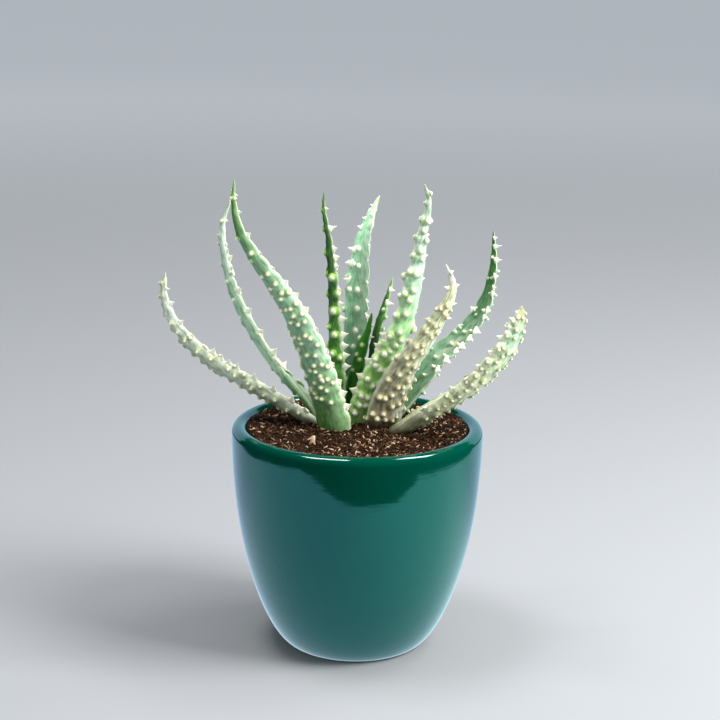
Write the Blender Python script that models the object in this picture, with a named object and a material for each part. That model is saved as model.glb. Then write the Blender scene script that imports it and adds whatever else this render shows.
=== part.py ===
"""Potted aloe: a spined dwarf aloe of eleven leaves, in soil, in a round-bottomed glazed pot.

Metres, +Z up. The origin is the middle of the pot's flat foot, on the surface that the pot
stands on, and -Y is the front. Lengths below are in millimetres, as their names say.
"""

import math
import random

import bmesh
import bpy
from mathutils import Matrix, Vector, noise

MM = 0.001
CLEARANCE = 0.3
HOLE_CLEARANCE = 0.55

POT_HEIGHT = 108.5
POT_RADIUS = 60.0
FOOT_RADIUS = 32.0
LIP_RADIUS = 3.8
WALL_RISE = 1.95
WALL_BELLY = 1.55
POT_SEGMENTS = 48
WALL_STEPS = 9
LIP_STEPS = 6

SOIL_LEVEL = 106.2
SOIL_ROUGHNESS = 0.7
SOIL_GRAIN = 7.0
SOIL_SEGMENTS = 32
SOIL_RINGS = 5

CELL = 3.1
SECTION_POINTS = 12
MARGIN_ANGLE = 15.0
OUTER_COLUMNS = (6, 7, 8, 9, 10)
INNER_COLUMNS = (0, 1, 2, 3, 4)
MARGIN_COLUMNS = (11, 5)
OUTER_FULLNESS = 0.85
MARGIN_RISE = 0.15
CENTRING = 0.4
WIDTH_POWER = 1.2
THICKNESS_POWER = 0.8
TIP_WIDTH = 1.3
TIP_THICKNESS = 0.8
DIRECTION_SPAN = 0.01
BEAD_HEIGHT = 1.1
BEAD_FULL_WIDTH = 7.7
BEAD_ROW_WIDTH = 5.0
SMALLEST_BEAD = 0.45
BEAD_SEED = 11
TOOTH_LEAN = 0.4
SMALLEST_TOOTH = 0.55
HOLE_RINGS = 7

# Each leaf grows in an upright plane through its foot. "line" gives reach along the leaf's
# heading and height above the ground; "inner_low" and "inner_high" say where its inner,
# hollow face looks at the foot and at the tip.
LEAVES = (
    dict(
        name="leaf_01", foot=(-20, 6.4), heading=180,
        line=((-3, 102.5), (11, 112.7), (33, 125.6), (52.5, 138), (66.5, 152.2), (72.5, 167.7),
              (71.5, 179.6)),
        width=8.6, foot_width=0.75, widest=0.4, taper=4.6, thickness=4.6, channel=-0.1,
        inner_low=(0.3, 0.6, 1.0), inner_high=(1.0, 0.7, 0.3),
        bare=14, tooth=1.9, tooth_step=3, inner_beads=0.15,
    ),
    dict(
        name="leaf_02", foot=(-16.5, 15.8), heading=170,
        line=((1, 102.5), (7.5, 113.8), (21.2, 128), (35, 146.6), (45, 166), (50, 186),
              (50.5, 199), (46.5, 211)),
        width=12, foot_width=0.8, widest=0.3, taper=1.9, thickness=4.4, channel=0.45,
        inner_low=(0.93, -0.35, 0.5), inner_high=(1.0, 1.4, 0.3),
        bare=10, tooth=1.7, tooth_step=2, inner_beads=0.0,
    ),
    dict(
        name="leaf_03", foot=(-11, -2), heading=205,
        line=((-0.5, 102.5), (3, 115.5), (9.2, 136), (18.6, 158), (30, 176), (41, 191.5),
              (48.6, 205), (51, 218), (50.5, 227.5)),
        width=15.8, foot_width=1.0, widest=0.4, taper=1.75, thickness=5.8, channel=0.3,
        inner_low=(0.25, 1.0, 0.2), inner_high=(0.6, 0.9, 0.3),
        bare=19, tooth=2.4, tooth_step=3, inner_beads=0.0,
    ),
    dict(
        name="leaf_04", foot=(-8, 11), heading=150,
        line=((1, 102.5), (2.5, 128), (4.5, 150), (5.5, 170), (8, 193), (11, 208), (11, 217)),
        width=8.2, foot_width=0.9, widest=0.3, taper=1.9, thickness=4.2, channel=0.2,
        inner_low=(0.8, 0.7, 0.0), inner_high=(0.8, 0.7, 0.0),
        bare=12, tooth=1.9, tooth_step=2, inner_beads=0.0,
    ),
    dict(
        name="leaf_05", foot=(-2.8, 21.5), heading=60,
        line=((0, 102.5), (0.5, 122), (2, 145), (3.5, 165), (6.5, 185), (12.5, 199), (24, 212)),
        width=11.5, foot_width=0.8, widest=0.4, taper=3.2, thickness=4.0, channel=0.45,
        inner_low=(-0.1, -1.0, 0.2), inner_high=(-0.1, -1.0, 0.2),
        bare=12, tooth=1.6, tooth_step=3, inner_beads=0.6,
    ),
    dict(
        name="leaf_06", foot=(6.5, 19), heading=40,
        line=((0.5, 102.5), (1, 125), (3, 146), (8, 160.5), (12.5, 174)),
        width=6.5, foot_width=1.0, widest=0.3, taper=2.4, thickness=3.2, channel=0.2,
        inner_low=(-0.6, -0.7, 0.3), inner_high=(-0.6, -0.7, 0.3),
        bare=14, tooth=1.8, tooth_step=2, inner_beads=0.4,
    ),
    dict(
        name="leaf_07", foot=(-2, 16), heading=350,
        line=((-1, 102.5), (-0.3, 122), (3.5, 141), (6.5, 150.5), (8.3, 159.5)),
        width=9, foot_width=0.9, widest=0.3, taper=1.9, thickness=3.6, channel=0.2,
        inner_low=(0.2, 1.0, 0.0), inner_high=(0.2, 1.0, 0.0),
        bare=14, tooth=1.4, tooth_step=2, inner_beads=0.0,
    ),
    dict(
        name="leaf_08", foot=(0, 9.5), heading=355,
        line=((0, 102.5), (1.5, 112), (7, 127.5), (16.5, 143.5), (23, 160.5), (27, 179),
              (29.5, 198), (32, 214), (29.8, 222.5)),
        width=12.2, foot_width=0.7, widest=0.3, taper=2.6, thickness=5.2, channel=0.2,
        inner_low=(-0.6, 0.8, 0.3), inner_high=(-0.6, 0.8, 0.3),
        bare=12, tooth=2.0, tooth_step=2, inner_beads=0.0,
    ),
    dict(
        name="leaf_09", foot=(13, 3), heading=335,
        line=((0, 102.5), (2, 117), (8.5, 133), (19, 149), (29.2, 165.5), (33.5, 178),
              (29.5, 188)),
        width=19.0, foot_width=1.0, widest=0.4, taper=1.5, thickness=6.2, channel=0.1,
        inner_low=(-0.4, 0.9, 0.3), inner_high=(-0.5, 0.8, 0.3),
        bare=6, tooth=1.8, tooth_step=3, inner_beads=0.0,
    ),
    dict(
        name="leaf_10", foot=(17, 16), heading=20,
        line=((-3, 103), (8.6, 116.5), (22.1, 134), (39.1, 148), (48.1, 161.6), (51.4, 180.6),
              (50.6, 196.8)),
        width=12, foot_width=0.5, widest=0.3, taper=2.3, thickness=4.2, channel=0.45,
        inner_low=(-0.5, -0.7, 0.6), inner_high=(-0.7, -0.7, 0.2),
        bare=10, tooth=1.8, tooth_step=3, inner_beads=0.8,
    ),
    dict(
        name="leaf_11", foot=(19, -5), heading=345,
        line=((-1.5, 104), (12, 114.6), (33, 130), (49, 147), (56, 162), (57.5, 171)),
        width=14.5, foot_width=0.5, widest=0.75, taper=9.0, thickness=6.2, channel=-0.1,
        inner_low=(-0.3, 0.0, 1.0), inner_high=(-0.8, 0.6, 0.4),
        bare=12, tooth=2.0, tooth_step=2, inner_beads=0.4,
    ),
)


def clear_scene():
    for obj in list(bpy.data.objects):
        bpy.data.objects.remove(obj, do_unlink=True)


def paint(name, colour, roughness):
    """A plain Principled material."""
    material = bpy.data.materials.new(name)
    material.use_nodes = True
    shader = material.node_tree.nodes["Principled BSDF"]
    shader.inputs["Base Color"].default_value = (*colour, 1.0)
    shader.inputs["Roughness"].default_value = roughness
    shader.inputs["Metallic"].default_value = 0.0
    return material


def add_object(name, mesh_data, material, smooth_angle):
    """Turns the bmesh into a named object with outward faces, shaded smooth below the angle."""
    bmesh.ops.recalc_face_normals(mesh_data, faces=mesh_data.faces)
    mesh = bpy.data.meshes.new(name)
    mesh_data.to_mesh(mesh)
    mesh_data.free()
    mesh.transform(Matrix.Scale(MM, 4))
    mesh.materials.append(material)
    mesh.shade_smooth()
    mesh.set_sharp_from_angle(angle=math.radians(smooth_angle))
    obj = bpy.data.objects.new(name, mesh)
    bpy.context.scene.collection.objects.link(obj)
    return obj


def wall_radius(height, inset):
    """Radius of the pot's wall at a height, measured that far in from its outside."""
    top = POT_HEIGHT - LIP_RADIUS
    part = min(1.0, max(0.0, (height - inset) / (top - inset)))
    rise = (1.0 - (1.0 - part) ** WALL_RISE) ** (1.0 / WALL_BELLY)
    foot = FOOT_RADIUS - inset / 2
    return foot + (POT_RADIUS - inset - foot) * rise


def wall_profile(inset):
    """Radius and height up the wall, with closer steps where it turns under to the foot."""
    top = POT_HEIGHT - LIP_RADIUS
    heights = [inset + (top - inset) * (i / WALL_STEPS) ** 2 for i in range(WALL_STEPS + 1)]
    return [(wall_radius(height, inset), height) for height in heights]


def spin_profile(profile, segments):
    """Turns a profile of radius and height round the Z axis; it starts and ends on the axis."""
    solid = bmesh.new()
    verts = [solid.verts.new((radius, 0.0, height)) for radius, height in profile]
    edges = [solid.edges.new(pair) for pair in zip(verts, verts[1:])]
    bmesh.ops.spin(
        solid, geom=verts + edges, cent=(0, 0, 0), axis=(0, 0, 1),
        angle=math.tau, steps=segments, use_merge=True,
    )
    bmesh.ops.remove_doubles(solid, verts=solid.verts, dist=0.001)
    return solid


def make_pot(material):
    """The pot: a flat foot, a wall that swells and straightens, and a round lip."""
    wall = 2 * LIP_RADIUS
    profile = [(0.0, 0.0)] + wall_profile(0.0)
    centre = Vector((POT_RADIUS - LIP_RADIUS, POT_HEIGHT - LIP_RADIUS))
    for i in range(1, LIP_STEPS):
        turn = math.pi * i / LIP_STEPS
        profile.append(tuple(centre + LIP_RADIUS * Vector((math.cos(turn), math.sin(turn)))))
    profile += reversed(wall_profile(wall))
    profile.append((0.0, wall))
    return add_object("pot", spin_profile(profile, POT_SEGMENTS), material, 40)


def soil_top(x, y):
    """Height of the soil's surface, which is rough with crumbs."""
    return SOIL_LEVEL + SOIL_ROUGHNESS * noise.noise(Vector((x, y, 0.0)) / SOIL_GRAIN)


def soil_solid():
    """The soil that fills the pot, clear of its wall."""
    wall = 2 * LIP_RADIUS
    side = [(radius - CLEARANCE, height) for radius, height in wall_profile(wall)]
    bottom = wall + CLEARANCE
    side[0] = (side[0][0], bottom)
    side[-1] = (side[-1][0], SOIL_LEVEL)
    rim = side[-1][0]
    top = [(rim * (1 - i / SOIL_RINGS), SOIL_LEVEL) for i in range(1, SOIL_RINGS + 1)]
    solid = spin_profile([(0.0, bottom)] + side[::2] + side[-1:] + top, SOIL_SEGMENTS)
    for vert in solid.verts:
        if vert.co.z > SOIL_LEVEL - 0.01:
            vert.co.z = soil_top(vert.co.x, vert.co.y)
    return solid


def make_soil(material, hole_cutters):
    """The soil, with a plain hole for each leaf's foot."""
    soil = add_object("soil", soil_solid(), material, 30)
    for cutter in hole_cutters:
        cutter.hide_render = True
        cutter.display_type = "WIRE"
        cut = soil.modifiers.new(cutter.name, "BOOLEAN")
        cut.operation = "DIFFERENCE"
        cut.solver = "EXACT"
        cut.object = cutter
    return soil


def leaf_point(leaf, reach, height):
    """A point of the leaf's upright plane."""
    heading = math.radians(leaf["heading"])
    x, y = leaf["foot"]
    return Vector((x + reach * math.cos(heading), y + reach * math.sin(heading), height))


def smooth_line(points):
    """A smooth curve through the points, as a function of the distance along it."""
    knots = [0.0]
    for a, b in zip(points, points[1:]):
        knots.append(knots[-1] + (b - a).length)
    slopes = []
    for i in range(len(points)):
        low = max(i - 1, 0)
        high = min(i + 1, len(points) - 1)
        slopes.append((points[high] - points[low]) / (knots[high] - knots[low]))

    def at(distance):
        i = 0
        while i < len(points) - 2 and distance > knots[i + 1]:
            i += 1
        span = knots[i + 1] - knots[i]
        t = (distance - knots[i]) / span
        ease = t * t * (3 - 2 * t)
        start = slopes[i] * span * t * (1 - t) ** 2
        end = slopes[i + 1] * span * t * t * (1 - t)
        return points[i].lerp(points[i + 1], ease) + start - end

    return at, knots[-1]


def leaf_frames(leaf):
    """Centre, forward, sideways and inward directions, width and thickness of each ring."""
    line, length = smooth_line([leaf_point(leaf, *pair) for pair in leaf["line"]])
    rings = round(length / CELL)
    frames = []
    for k in range(rings):
        part = k / rings
        centre = line(part * length)
        behind = line(max(part - DIRECTION_SPAN, 0) * length)
        forward = (line((part + DIRECTION_SPAN) * length) - behind).normalized()
        look = Vector(leaf["inner_low"]).lerp(Vector(leaf["inner_high"]), part)
        inward = (look - look.dot(forward) * forward).normalized()
        sideways = forward.cross(inward)
        slim = (1 - part ** leaf["taper"]) ** WIDTH_POWER
        spread = leaf["foot_width"] + (1 - leaf["foot_width"]) * min(1.0, part / leaf["widest"])
        width = TIP_WIDTH + (leaf["width"] - TIP_WIDTH) * slim * spread
        thickness = TIP_THICKNESS + (leaf["thickness"] - TIP_THICKNESS) * slim ** THICKNESS_POWER
        frames.append((centre, forward, sideways, inward, width, thickness))
    return frames, line(length)


def ring_points(frame, channel, grow):
    """The crescent section: hollow inner face, full outer face and a narrow facet at each margin."""
    centre, _, sideways, inward, width, thickness = frame
    points = []
    for j in range(SECTION_POINTS):
        angle = math.radians(MARGIN_ANGLE + j * 360 / SECTION_POINTS)
        depth = abs(math.sin(angle))
        if math.sin(angle) > 0:
            rise = MARGIN_RISE - channel * depth ** 2
            out = grow
        else:
            rise = -depth ** OUTER_FULLNESS
            out = -grow
        across = math.cos(angle) * (width / 2 + grow)
        up = (rise + CENTRING) * thickness + out
        points.append(centre + sideways * across + inward * up)
    return points


def loft(rings, tip):
    """A closed body through the rings: the cap is extruded from ring to ring and ends in a point."""
    solid = bmesh.new()
    verts = [solid.verts.new(point) for point in rings[0]]
    cap = solid.faces.new(verts)
    loops = [verts]
    for ring in rings[1:]:
        old_cap = cap
        grown = bmesh.ops.extrude_face_region(solid, geom=[old_cap])["geom"]
        cap = next(item for item in grown if isinstance(item, bmesh.types.BMFace))
        if len(loops) > 1:
            solid.faces.remove(old_cap)
        for vert, point in zip(cap.verts, ring):
            vert.co = point
        loops.append(list(cap.verts))
    if tip is not None:
        point = bmesh.ops.poke(solid, faces=[cap])["verts"][0]
        point.co = tip
    return solid, loops


def raise_point(solid, loops, row, column, offset):
    """Raises one cell of the leaf's skin to a point."""
    after = (column + 1) % SECTION_POINTS
    low, high = loops[row], loops[row + 1]
    face = solid.faces.get((low[column], low[after], high[after], high[column]))
    point = bmesh.ops.poke(solid, faces=[face])["verts"][0]
    point.co += offset


def add_teeth(solid, loops, leaf, frames):
    """Triangular teeth along both margins, leaning to the tip."""
    first = math.ceil(leaf["bare"] / CELL)
    for side, column in enumerate(MARGIN_COLUMNS):
        direction = 1 - 2 * side
        for row in range(first + side, len(loops) - 1, leaf["tooth_step"]):
            _, forward, sideways, _, width, _ = frames[row]
            share = min(1.0, 2 * width / leaf["width"])
            size = leaf["tooth"] * (SMALLEST_TOOTH + (1 - SMALLEST_TOOTH) * share)
            offset = sideways * direction * size + forward * TOOTH_LEAN * CELL
            raise_point(solid, loops, row, column, offset)


def add_beads(solid, loops, leaf, frames):
    """Rows of hard white beads: staggered on the outer face, scattered on the inner."""
    draw = random.Random(f"{BEAD_SEED} {leaf['name']}")
    first = math.ceil(leaf["bare"] / CELL)
    for row in range(first, len(loops) - 2, 2):
        _, _, sideways, inward, width, thickness = frames[row]
        share = min(1.0, width / BEAD_FULL_WIDTH)
        size = BEAD_HEIGHT * (SMALLEST_BEAD + (1 - SMALLEST_BEAD) * share)
        if width < BEAD_ROW_WIDTH:
            chosen = [OUTER_COLUMNS[draw.choice((1, 3))]]
        else:
            chosen = OUTER_COLUMNS[(row // 2) % 2::2]
        for column in chosen:
            angle = math.radians(MARGIN_ANGLE + (column + 0.5) * 360 / SECTION_POINTS)
            out = sideways * math.cos(angle) * width + inward * math.sin(angle) * thickness * 2
            raise_point(solid, loops, row, column, out.normalized() * size)
        if draw.random() < leaf["inner_beads"]:
            raise_point(solid, loops, row, draw.choice(INNER_COLUMNS), inward * size)


def make_leaf(leaf, material):
    """One leaf: a tapering crescent with toothed margins and beaded faces."""
    frames, tip = leaf_frames(leaf)
    rings = [ring_points(frame, leaf["channel"], 0.0) for frame in frames]
    solid, loops = loft(rings, tip)
    add_teeth(solid, loops, leaf, frames)
    add_beads(solid, loops, leaf, frames)
    return add_object(leaf["name"], solid, material, 35)


def make_hole_cutter(leaf, material):
    """The leaf's foot, grown by the clearance, which cuts its hole in the soil."""
    frames, _ = leaf_frames(leaf)
    rings = [ring_points(frame, leaf["channel"], HOLE_CLEARANCE) for frame in frames[:HOLE_RINGS]]
    forward = frames[0][1]
    rings[0] = [point - forward * CLEARANCE for point in rings[0]]
    solid, _ = loft(rings, None)
    return add_object(leaf["name"] + "_hole", solid, material, 35)


def main():
    clear_scene()
    glaze = paint("green_glaze", (0.010, 0.095, 0.075), 0.12)
    earth = paint("potting_soil", (0.035, 0.020, 0.013), 0.95)
    skin = paint("aloe_skin", (0.27, 0.42, 0.27), 0.5)
    make_pot(glaze)
    cutters = [make_hole_cutter(leaf, earth) for leaf in LEAVES]
    make_soil(earth, cutters)
    for leaf in LEAVES:
        make_leaf(leaf, skin)


main()
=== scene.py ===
"""The looks of a potted aloe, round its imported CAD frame.

The file is laid out as an add-on and is run as a script. Metres, +Z up, and -Y is the front;
lengths in the tables and constants below are in millimetres. The glazed pot, the bed of potting
soil and each leaf take the place of the CAD node of the same kind and keep its form.
"""

import math
import random

import bmesh
import bpy
from bpy.props import (
    FloatProperty, FloatVectorProperty, IntProperty, PointerProperty)
from mathutils import Matrix, Vector, noise
from mathutils.kdtree import KDTree


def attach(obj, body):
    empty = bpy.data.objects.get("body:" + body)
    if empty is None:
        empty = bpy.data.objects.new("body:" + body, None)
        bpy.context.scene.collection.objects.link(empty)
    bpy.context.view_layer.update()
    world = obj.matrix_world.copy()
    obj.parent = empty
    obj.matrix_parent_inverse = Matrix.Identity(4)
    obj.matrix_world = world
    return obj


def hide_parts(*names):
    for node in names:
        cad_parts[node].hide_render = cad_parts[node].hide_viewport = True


bl_info = {
    "name": "Potted Aloe",
    "version": (1, 0, 0),
    "blender": (4, 5, 0),
    "location": "3D View > Sidebar > Potted Aloe",
    "description": "Adds a glazed pot, its potting soil, the leaves of a spined aloe and a stage",
    "category": "Add Mesh",
}

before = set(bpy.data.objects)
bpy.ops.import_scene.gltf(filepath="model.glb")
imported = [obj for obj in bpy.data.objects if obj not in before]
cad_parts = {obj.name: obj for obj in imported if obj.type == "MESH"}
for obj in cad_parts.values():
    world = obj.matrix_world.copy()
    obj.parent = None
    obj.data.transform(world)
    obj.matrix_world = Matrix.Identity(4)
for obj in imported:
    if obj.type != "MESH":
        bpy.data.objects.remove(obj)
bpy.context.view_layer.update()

MM = 0.001
PICTURE = 720

# The camera stands 800 mm from the middle of the plant and looks down by 13.9 degrees.
CAMERA_TARGET = Vector((0.8, 0.0, 139.4)) * MM
CAMERA_DISTANCE = 0.8
CAMERA_PITCH = math.radians(13.9)
CAMERA_ROLL = math.radians(0.9)
CAMERA_LENS = 84.5
SENSOR = 36.0
FOCAL = CAMERA_LENS / SENSOR * PICTURE
VIEW_FORWARD = Vector((0.0, math.cos(CAMERA_PITCH), -math.sin(CAMERA_PITCH)))
LEVEL_UP = Vector((0.0, math.sin(CAMERA_PITCH), math.cos(CAMERA_PITCH)))
LEVEL_RIGHT = Vector((1.0, 0.0, 0.0))
VIEW_RIGHT = LEVEL_RIGHT * math.cos(CAMERA_ROLL) + LEVEL_UP * math.sin(CAMERA_ROLL)
VIEW_UP = LEVEL_UP * math.cos(CAMERA_ROLL) - LEVEL_RIGHT * math.sin(CAMERA_ROLL)
CAMERA_PLACE = CAMERA_TARGET - VIEW_FORWARD * CAMERA_DISTANCE

# The stage is in metres, apart from the outline of the paper that the glaze mirrors.
FLOOR_RADIUS = 25.0
CLOTH_RADIUS = 3.0
PAPER_OUTLINE = (
    (-365, 900), (-365, 100), (-371, -76), (-331, -174), (-285, -250), (-150, -262), (-54, -240),
    (46, -230), (128, -208), (266, -194), (326, -90), (354, 17), (350, 900),
)
PAPER_LIFT = 0.4
CLOTH_LIFT = 0.2
BACKDROP_SIZE = (2.4, 0.7)
BACKDROP_DISTANCE = 0.9

# Each softbox: name, place, width, depth, share of the power, and whether the glaze mirrors it.
SOFTBOX_AIM = Vector((0.0, 0.0, 0.12))
SOFTBOXES = (
    ("left_softbox", (-0.28, -0.02, 1.1), 0.42, 0.26, 1.5, True),
    ("right_softbox", (0.55, 0.15, 1.1), 0.45, 0.3, 1.2, True),
    ("side_softbox", (0.8, -0.3, 0.8), 0.5, 0.5, 5.0, False),
)

# The pot's wall is twice the lip's radius thick, and rises from the foot to the lip on a
# curve of two powers.
POT_HEIGHT = 108.5
POT_RADIUS = 60.0
FOOT_RADIUS = 32.0
LIP_RADIUS = 3.8
WALL_RISE = 1.95
WALL_BELLY = 1.55
POT_SEGMENTS = 160
WALL_STEPS = 44
LIP_STEPS = 18
FOOT_ROUNDING = 0.8

# The bed of soil, heaped a little between two radii, and its uneven tone.
SOIL_LEVEL = 106.2
SOIL_TOP = 107.1
SOIL_HEAP = 0.8
HEAP_RADII = (44.0, 53.0)
BED_TONE = 0.04
BED_TONE_SPREAD = 0.2
BED_TONE_LENGTH = 1.2
SOIL_SEGMENTS = 150
SOIL_RINGS = 50
SOIL_CLEARANCE = 0.3

# The grains on it: kinds of crumb, chip and fibre, how often each falls, and their tilt in
# radians. A batch is how many are joined at a time.
GRAIN_BATCH = 150
CRUMB_KINDS = 5
CHIP_KINDS = 5
GRAIN_KINDS = 12
GRAIN_SHARES = (6, 6, 6, 6, 6, 5, 5, 5, 5, 5, 2, 2)
CHIP_SIZE = (1.7, 0.5, 0.25)
FIBRE_LENGTH = 6.0
GRAIN_PITCH = 0.45
GRAIN_ROLL = 0.5

# The waves of the loose soil: height and length of each, and where its noise is read.
SOIL_WAVES = ((0.6, 14.0, (0, 0, 0)), (0.5, 4.0, (9, 9, 0)), (0.45, 1.5, (31, 7, 0)))

# The big bark chips in view: pixel, size and tone of each.
BARK_SPOTS = (((311.5, 444.0), 3.6, 0.95), ((377.0, 452.5), 1.9, 0.8), ((371.0, 449.0), 1.4, 0.9))

# A leaf is a row of rings with a crescent section, and narrows to a small rounded tip.
RING_SPACING = 0.6
SECTION_POINTS = 52
OUTER_FULLNESS = 0.85
MARGIN_RISE = 0.15
MARGIN_ROUNDING = 0.35
CENTRING = 0.4
WIDTH_POWER = 1.2
THICKNESS_POWER = 0.8
TIP_WIDTH = 1.0
TIP_THICKNESS = 0.7
TIP_LENGTH = 4.0
DIRECTION_SPAN = 0.01

# Relief of the skin: long waves, short ripples, and a mound under each bead.
SKIN_WAVE = 0.2
SKIN_WAVE_LENGTH = 7.0
SKIN_RIPPLE = 0.14
SKIN_RIPPLE_LENGTH = 2.6
MOUND_HEIGHT = 0.7
MOUND_SPREAD = 1.7

# A margin bulges at its teeth and is scalloped between them, and its rim is pale.
SCALLOP_DEPTH = 0.3
SCALLOP_CUT = 1.1
SCALLOP_SPREAD = 2.3
SCALLOP_REACH = 5.0
SCALLOP_END = 12.0
SCALLOP_FULL_WIDTH = 9.0
MARGIN_PALE = 0.4
MARGIN_BAND = (0.95, 0.995)
TOOTH_ROOT = 1.1
TOOTH_THICKNESS = 1.0
TOOTH_LEAN = 0.25
TOOTH_STRETCH = 1.6

# Beads stand by rule where no bead of the photograph is within this many pixels, on arcs of
# the section in degrees.
SEEN_REACH = 30.0
OUTER_ARC = (200, 340)
INNER_ARC = (40, 140)
BEAD_SLIDE = 1.2
BEAD_SEAT = 0.85
# How high above the soil a leaf's foot darkens, by staining of damp peat and by painted shade.
STAIN_AND_SHADE_HEIGHT = 6.0

# A section's girth in widths, the length of a unit of a leaf's UV, and how many blotches and
# streaks there are to a unit round the leaf and along it.
GIRTH = 2.6
UV_UNIT = 100.0
BLOTCHES = (60.0, 20.0, 1.0)
STREAKS = (150.0, 24.0, 1.0)

# The tints of the plant's skin, which every leaf takes its colours from, and the pale painted
# sheen over the side that faces the light.
TINTS = {
    "bark": "#5a4420", "straw": "#a89860", "moss": "#6a7034", "clay": "#a4a282",
    "cream": "#e8eebc", "chalk": "#f2f6ea", "frost": "#cfe0d0", "mint": "#b8e4bc",
    "sage": "#a4b48c", "jade": "#84b48c", "lichen": "#6a9474", "pine": "#3c681c",
    "deep": "#164a0c", "leaf": "#34801a", "fresh": "#569028", "shoot": "#a0d864",
}
LIT_SIDE_SHEEN = "#e6f2dc"

# Where a leaf's tints stand along it, and what its vertices tell its material.
STATIONS = (0.0, 0.3, 0.6, 0.85, 1.0)
MASKS = ("along", "inner", "rightward", "pale", "halo", "mound")
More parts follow.
